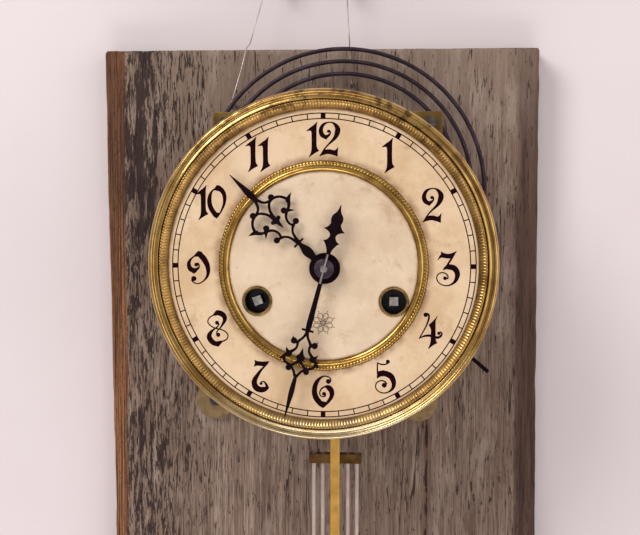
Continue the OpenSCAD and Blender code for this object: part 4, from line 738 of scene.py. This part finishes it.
NINE = [
    ("S", [(29.5, 7, 9), (41, 13, 15), (52.5, 26, 15.5), (61, 43, 13.4), (63.5, 60.5, 10.4), (60, 76, 6.4),
           (49.5, 89, 3.2), (35.5, 97, 2.7), (22.5, 95.5, 2.7), (14.5, 89, 2.7), (14, 83.5, 2.4)]),
    ("B", 20, 82.5, 7.8),
    ("S", [(22.5, 14.5, 3.2), (12.5, 23, 4.6), (6, 33, 8.4), (5.5, 44.5, 11.4), (11, 54.5, 13),
           (21, 57.5, 11.4), (30, 53.5, 7), (36, 47, 3.6), (34.5, 38.5, 3), (29.5, 35.8, 2.4)]),
    ("B", 27.5, 40.5, 5.8),
    ("O", [(10, 59), (20, 67.5, 1), (29, 60), (20, 55)]),
    ("O", [(21.5, 15), (33.5, 0, 1), (45.5, 4.5), (38, 14.5)]),
]
NOUGHT = [
    ("S", [(21.5, 10.5, 2.4), (12, 20.5, 5.4), (6.5, 38, 10.6), (7, 56, 12.5), (13, 72, 13),
           (23.5, 85.5, 12), (32.5, 90, 6)]),
    ("S", [(25, 7.5, 11), (38, 10.5, 13), (48.5, 22, 11.4), (52, 38, 9.6), (50, 56, 6.8), (43, 73.5, 4.4),
           (35.5, 87, 3)]),
    ("O", [(19.5, 13), (29.5, 0, 1), (40, 3), (37, 16), (25, 14.5)]),
    ("O", [(13, 79.5), (25, 81), (37.5, 83), (34, 91), (28, 98, 1), (17.5, 91)]),
]
# For each hour: its digits with their shift to the right, and how far out it stands in millimetres
HOURS = [
    ([(ONE, 0), (TWO, 37)], 66.2),
    ([(ONE, 0)], 66.8),
    ([(TWO, 0)], 64.9),
    ([(THREE, 0)], 64.2),
    ([(FOUR, 0)], 64.1),
    ([(FIVE, 0)], 64.7),
    ([(SIX, 0)], 64.4),
    ([(SEVEN, 0)], 65.3),
    ([(EIGHT, 0)], 63.6),
    ([(NINE, 0)], 65.0),
    ([(ONE, 0), (NOUGHT, 35)], 67.3),
    ([(ONE, 0), (ONE, 37)], 67.6),
]
DIGIT_MM = 0.174


def make_numerals(face_y):
    """Each hour's digits, centred on its place around the dial"""
    work = Print(face_y, NUMERALS_AT)
    for hour, (digits, out) in enumerate(HOURS):
        xs, ys = [], []
        for glyph, shift in digits:
            for part in glyph:
                if part[0] == "B":
                    xs += [part[1] + shift - part[3], part[1] + shift + part[3]]
                    ys += [part[2] - part[3], part[2] + part[3]]
                else:
                    for point in part[1]:
                        half = point[2] / 2 if part[0] == "S" else 0
                        xs += [point[0] + shift - half, point[0] + shift + half]
                        ys += [point[1] - half, point[1] + half]
        mid_x, mid_y = (min(xs) + max(xs)) / 2, (min(ys) + max(ys)) / 2
        angle = math.radians(90 - 30 * hour)
        at_x, at_z = out * math.cos(angle), out * math.sin(angle)

        def put(x, y, shift):
            return at_x + (x + shift - mid_x) * DIGIT_MM, at_z - (y - mid_y) * DIGIT_MM

        for glyph, shift in digits:
            for part in glyph:
                if part[0] == "B":
                    work.dot(*put(part[1], part[2], shift), part[3] * DIGIT_MM)
                elif part[0] == "S":
                    work.stroke([(*put(x, y, shift), (w * 1.06 + 0.9) * DIGIT_MM) for x, y, w in part[1]])
                else:
                    outline = [put(x, y, shift) for x, y in rounded(part[1])]
                    work.area(outline)
                    work.stroke([(*point, 1.5 * DIGIT_MM) for point in outline + outline[:1]], 1)
    work.piece("numerals", "dial_ink")


def make_minute_track(face_y):
    """Two circles with a thin tick for each minute and a thick one for each hour"""
    inner, outer, line = 75.8, 78.6, 0.55
    work = Print(face_y)
    work.circle(inner, line)
    work.circle(outer, line)
    for minute in range(60):
        angle = math.radians(90 - 6 * minute)
        half, over = (0.28, 0.1) if minute % 5 else (1.25, 0.0)
        run = (math.cos(angle), math.sin(angle))
        side = (-run[1], run[0])
        near, far = inner - over, outer + over
        work.area([(run[0] * r + side[0] * w, run[1] * r + side[1] * w)
                   for r, w in ((near, -half), (far, -half), (far, half), (near, half))])
    work.piece("minute_track", "dial_ink")


def make_rosette(face_y):
    """A small generic printed flower below the centre"""
    work = Print(face_y)
    x0, z0 = ROSETTE_AT
    petals, petal_r = 8, 5.4
    for k in range(petals):
        angle = (k + 0.5) * TURN / petals
        for bend in (0.36, -0.36):
            work.stroke([(x0 + r * math.cos(angle + bend * s), z0 + r * math.sin(angle + bend * s), 0.3)
                         for r, s in ((1.5, 0), (3.0, 0.8), (4.4, 0.8), (petal_r, 0))], 4)
        work.dot(x0 + 6.2 * math.cos(angle), z0 + 6.2 * math.sin(angle), 0.3, 10)
    for r in (1.3, 0.7):
        ring = [(x0 + r * math.cos(k * TURN / 24), z0 + r * math.sin(k * TURN / 24), 0.35) for k in range(25)]
        work.stroke(ring, 1)
    work.piece("rosette", "faded_ink")


dial_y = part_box("chapter_ring")[0][1] / MM
make_numerals(dial_y)
make_minute_track(dial_y)
make_rosette(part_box("centre_disc")[0][1] / MM)


# ---------------------------------------------------------------- finishes of the carried-over parts
# The finish of each part that keeps its CAD mesh
finish_of = {
    "steel": ["centre_arbor", "cannon_pinion", "taper_pin", "snail", "lever_studs"],
    "square_steel": ["winding_arbor_going", "winding_arbor_strike"],
    "hub_steel": ["hand_washer"],
    "dark_steel": ["board_screws", "movement_screws", "click_going", "click_strike", "anchor", "crutch",
                   "rack", "rack_hook"],
    "spring_steel": ["mainspring_going", "mainspring_strike", "click_springs", "suspension_spring"],
    "wire_steel": ["screw_eyes", "hanging_studs"],
    "rod_zinc": ["pendulum_rods"],
    "aged_brass": ["brackets"],
    "pale_brass": ["suspension_cock", "centre_wheel", "intermediate_wheel", "barrel_going",
                   "barrel_strike", "third_wheel", "escape_wheel", "minute_wheel", "hour_wheel",
                   "second_wheel", "pin_wheel", "warning_wheel", "fly", "pendulum_hook", "rating_nut"],
    "gilt_brass": ["pendulum_strap", "bob"],
    "hole_brass": ["grommets"],
    "arbor_shaded_brass": ["front_plate"],
    "dull_brass": ["back_plate", "pillars", "dial_plate"],
    "dark_brass": ["pendulum_crossbars", "hammer"],
    "gong_steel": ["gong_coil"],
    "cast_iron": ["gong_base"],
    "blued_steel": ["hour_hand", "minute_hand", "lifting_lever"],
    "chapter_cream": ["chapter_ring"],
    "centre_pearl": ["centre_disc"],
}
# Parts whose edges are rounded, with the radius in millimetres
soft_edge = {
    "hour_hand": 0.12, "minute_hand": 0.12, "pendulum_strap": 0.3, "pendulum_crossbars": 0.3,
    "brackets": 0.4, "front_plate": 0.25, "back_plate": 0.25, "grommets": 0.2, "hand_washer": 0.12,
    "gong_base": 0.8, "snail": 0.1, "rack": 0.12, "bob": 0.4, "winding_arbor_going": 0.15,
    "winding_arbor_strike": 0.15, "suspension_cock": 0.3, "anchor": 0.1, "lifting_lever": 0.12,
}
for finish, nodes in finish_of.items():
    for node in nodes:
        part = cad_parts[node]
        part.data.materials.clear()
        part.data.materials.append(materials[finish])
        if node in soft_edge:
            weld = part.modifiers.new("weld", "WELD")
            weld.merge_threshold = 0.005 * MM
            edge = part.modifiers.new("edge", "BEVEL")
            edge.width = soft_edge[node] * MM
            edge.segments = 2
            edge.limit_method = "ANGLE"
            edge.angle_limit = math.radians(40)


# ---------------------------------------------------------------- stage
def make_stage():
    """A pale wall just behind the board and a floor far below it"""
    s = Shader("wall_paint")
    cloud = s.span(s.noise(220, 4, 0.6), 0.3, 0.7)
    tone = s.mix(cloud, (0.86, 0.785, 0.805), (0.825, 0.745, 0.765))
    normal = s.bump(s.noise(14, 4, 0.6), 0.12, 0.8)
    normal = s.bump(s.noise(1.5, 3), 0.08, 0.2, normal)
    s.done(colour=tone, rough=0.85, specular=0.2, normal=normal)
    # The wall can be seen through from behind, so that the board's back shows
    back = s.add("ShaderNodeNewGeometry").outputs["Backfacing"]
    clear = s.add("ShaderNodeBsdfTransparent").outputs[0]
    out = s.tree.nodes["Material Output"]
    blend = s.add("ShaderNodeMixShader", {0: back, 1: s.surface.outputs[0], 2: clear})
    s.tree.links.new(blend.outputs[0], out.inputs["Surface"])
    wall_data = bpy.data.meshes.new("wall")
    wall_corners = [(-2.5, WALL_Y, FLOOR_Z), (2.5, WALL_Y, FLOOR_Z), (2.5, WALL_Y, 2.2), (-2.5, WALL_Y, 2.2)]
    wall_data.from_pydata(wall_corners, [], [(0, 1, 2, 3)])
    wall_data.materials.append(s.material)
    wall = linked("wall", wall_data)

    f = Shader("floor_paint")
    f.done(colour=f.mix(f.noise(300), (0.72, 0.69, 0.68), (0.66, 0.63, 0.62)), rough=0.7)
    floor_data = bpy.data.meshes.new("floor")
    floor_corners = [(-3, -4, FLOOR_Z), (3, -4, FLOOR_Z), (3, 3, FLOOR_Z), (-3, 3, FLOOR_Z)]
    floor_data.from_pydata(floor_corners, [], [(0, 1, 2, 3)])
    floor_data.materials.append(f.material)
    floor = linked("floor", floor_data)


make_stage()


def area_light(name, place, target, size, watts, colour):
    """A rectangular studio lamp aimed at the target, in metres"""
    data = bpy.data.lights.new(name, "AREA")
    data.shape = "RECTANGLE"
    data.size, data.size_y = size
    data.energy = watts
    data.color = colour
    lamp = linked(name, data)
    lamp.location = place
    lamp.rotation_euler = (Vector(target) - Vector(place)).to_track_quat("-Z", "Y").to_euler()


area_light("key", (-0.95, -1.35, 1.05), (0, -0.1, 0), (0.8, 0.8), 18, (1.0, 0.97, 0.95))
area_light("fill", (1.3, -1.5, 0.1), (0, -0.1, 0), (1.6, 1.6), 9, (1.0, 0.96, 0.95))
area_light("low", (0.1, -1.2, -0.95), (0, -0.1, -0.1), (1.0, 0.35), 4.5, (1.0, 0.96, 0.94))
world = bpy.data.worlds.new("studio")
world.use_nodes = True
world.node_tree.nodes["Background"].inputs["Color"].default_value = (0.95, 0.90, 0.89, 1)
world.node_tree.nodes["Background"].inputs["Strength"].default_value = 0.45
bpy.context.scene.world = world
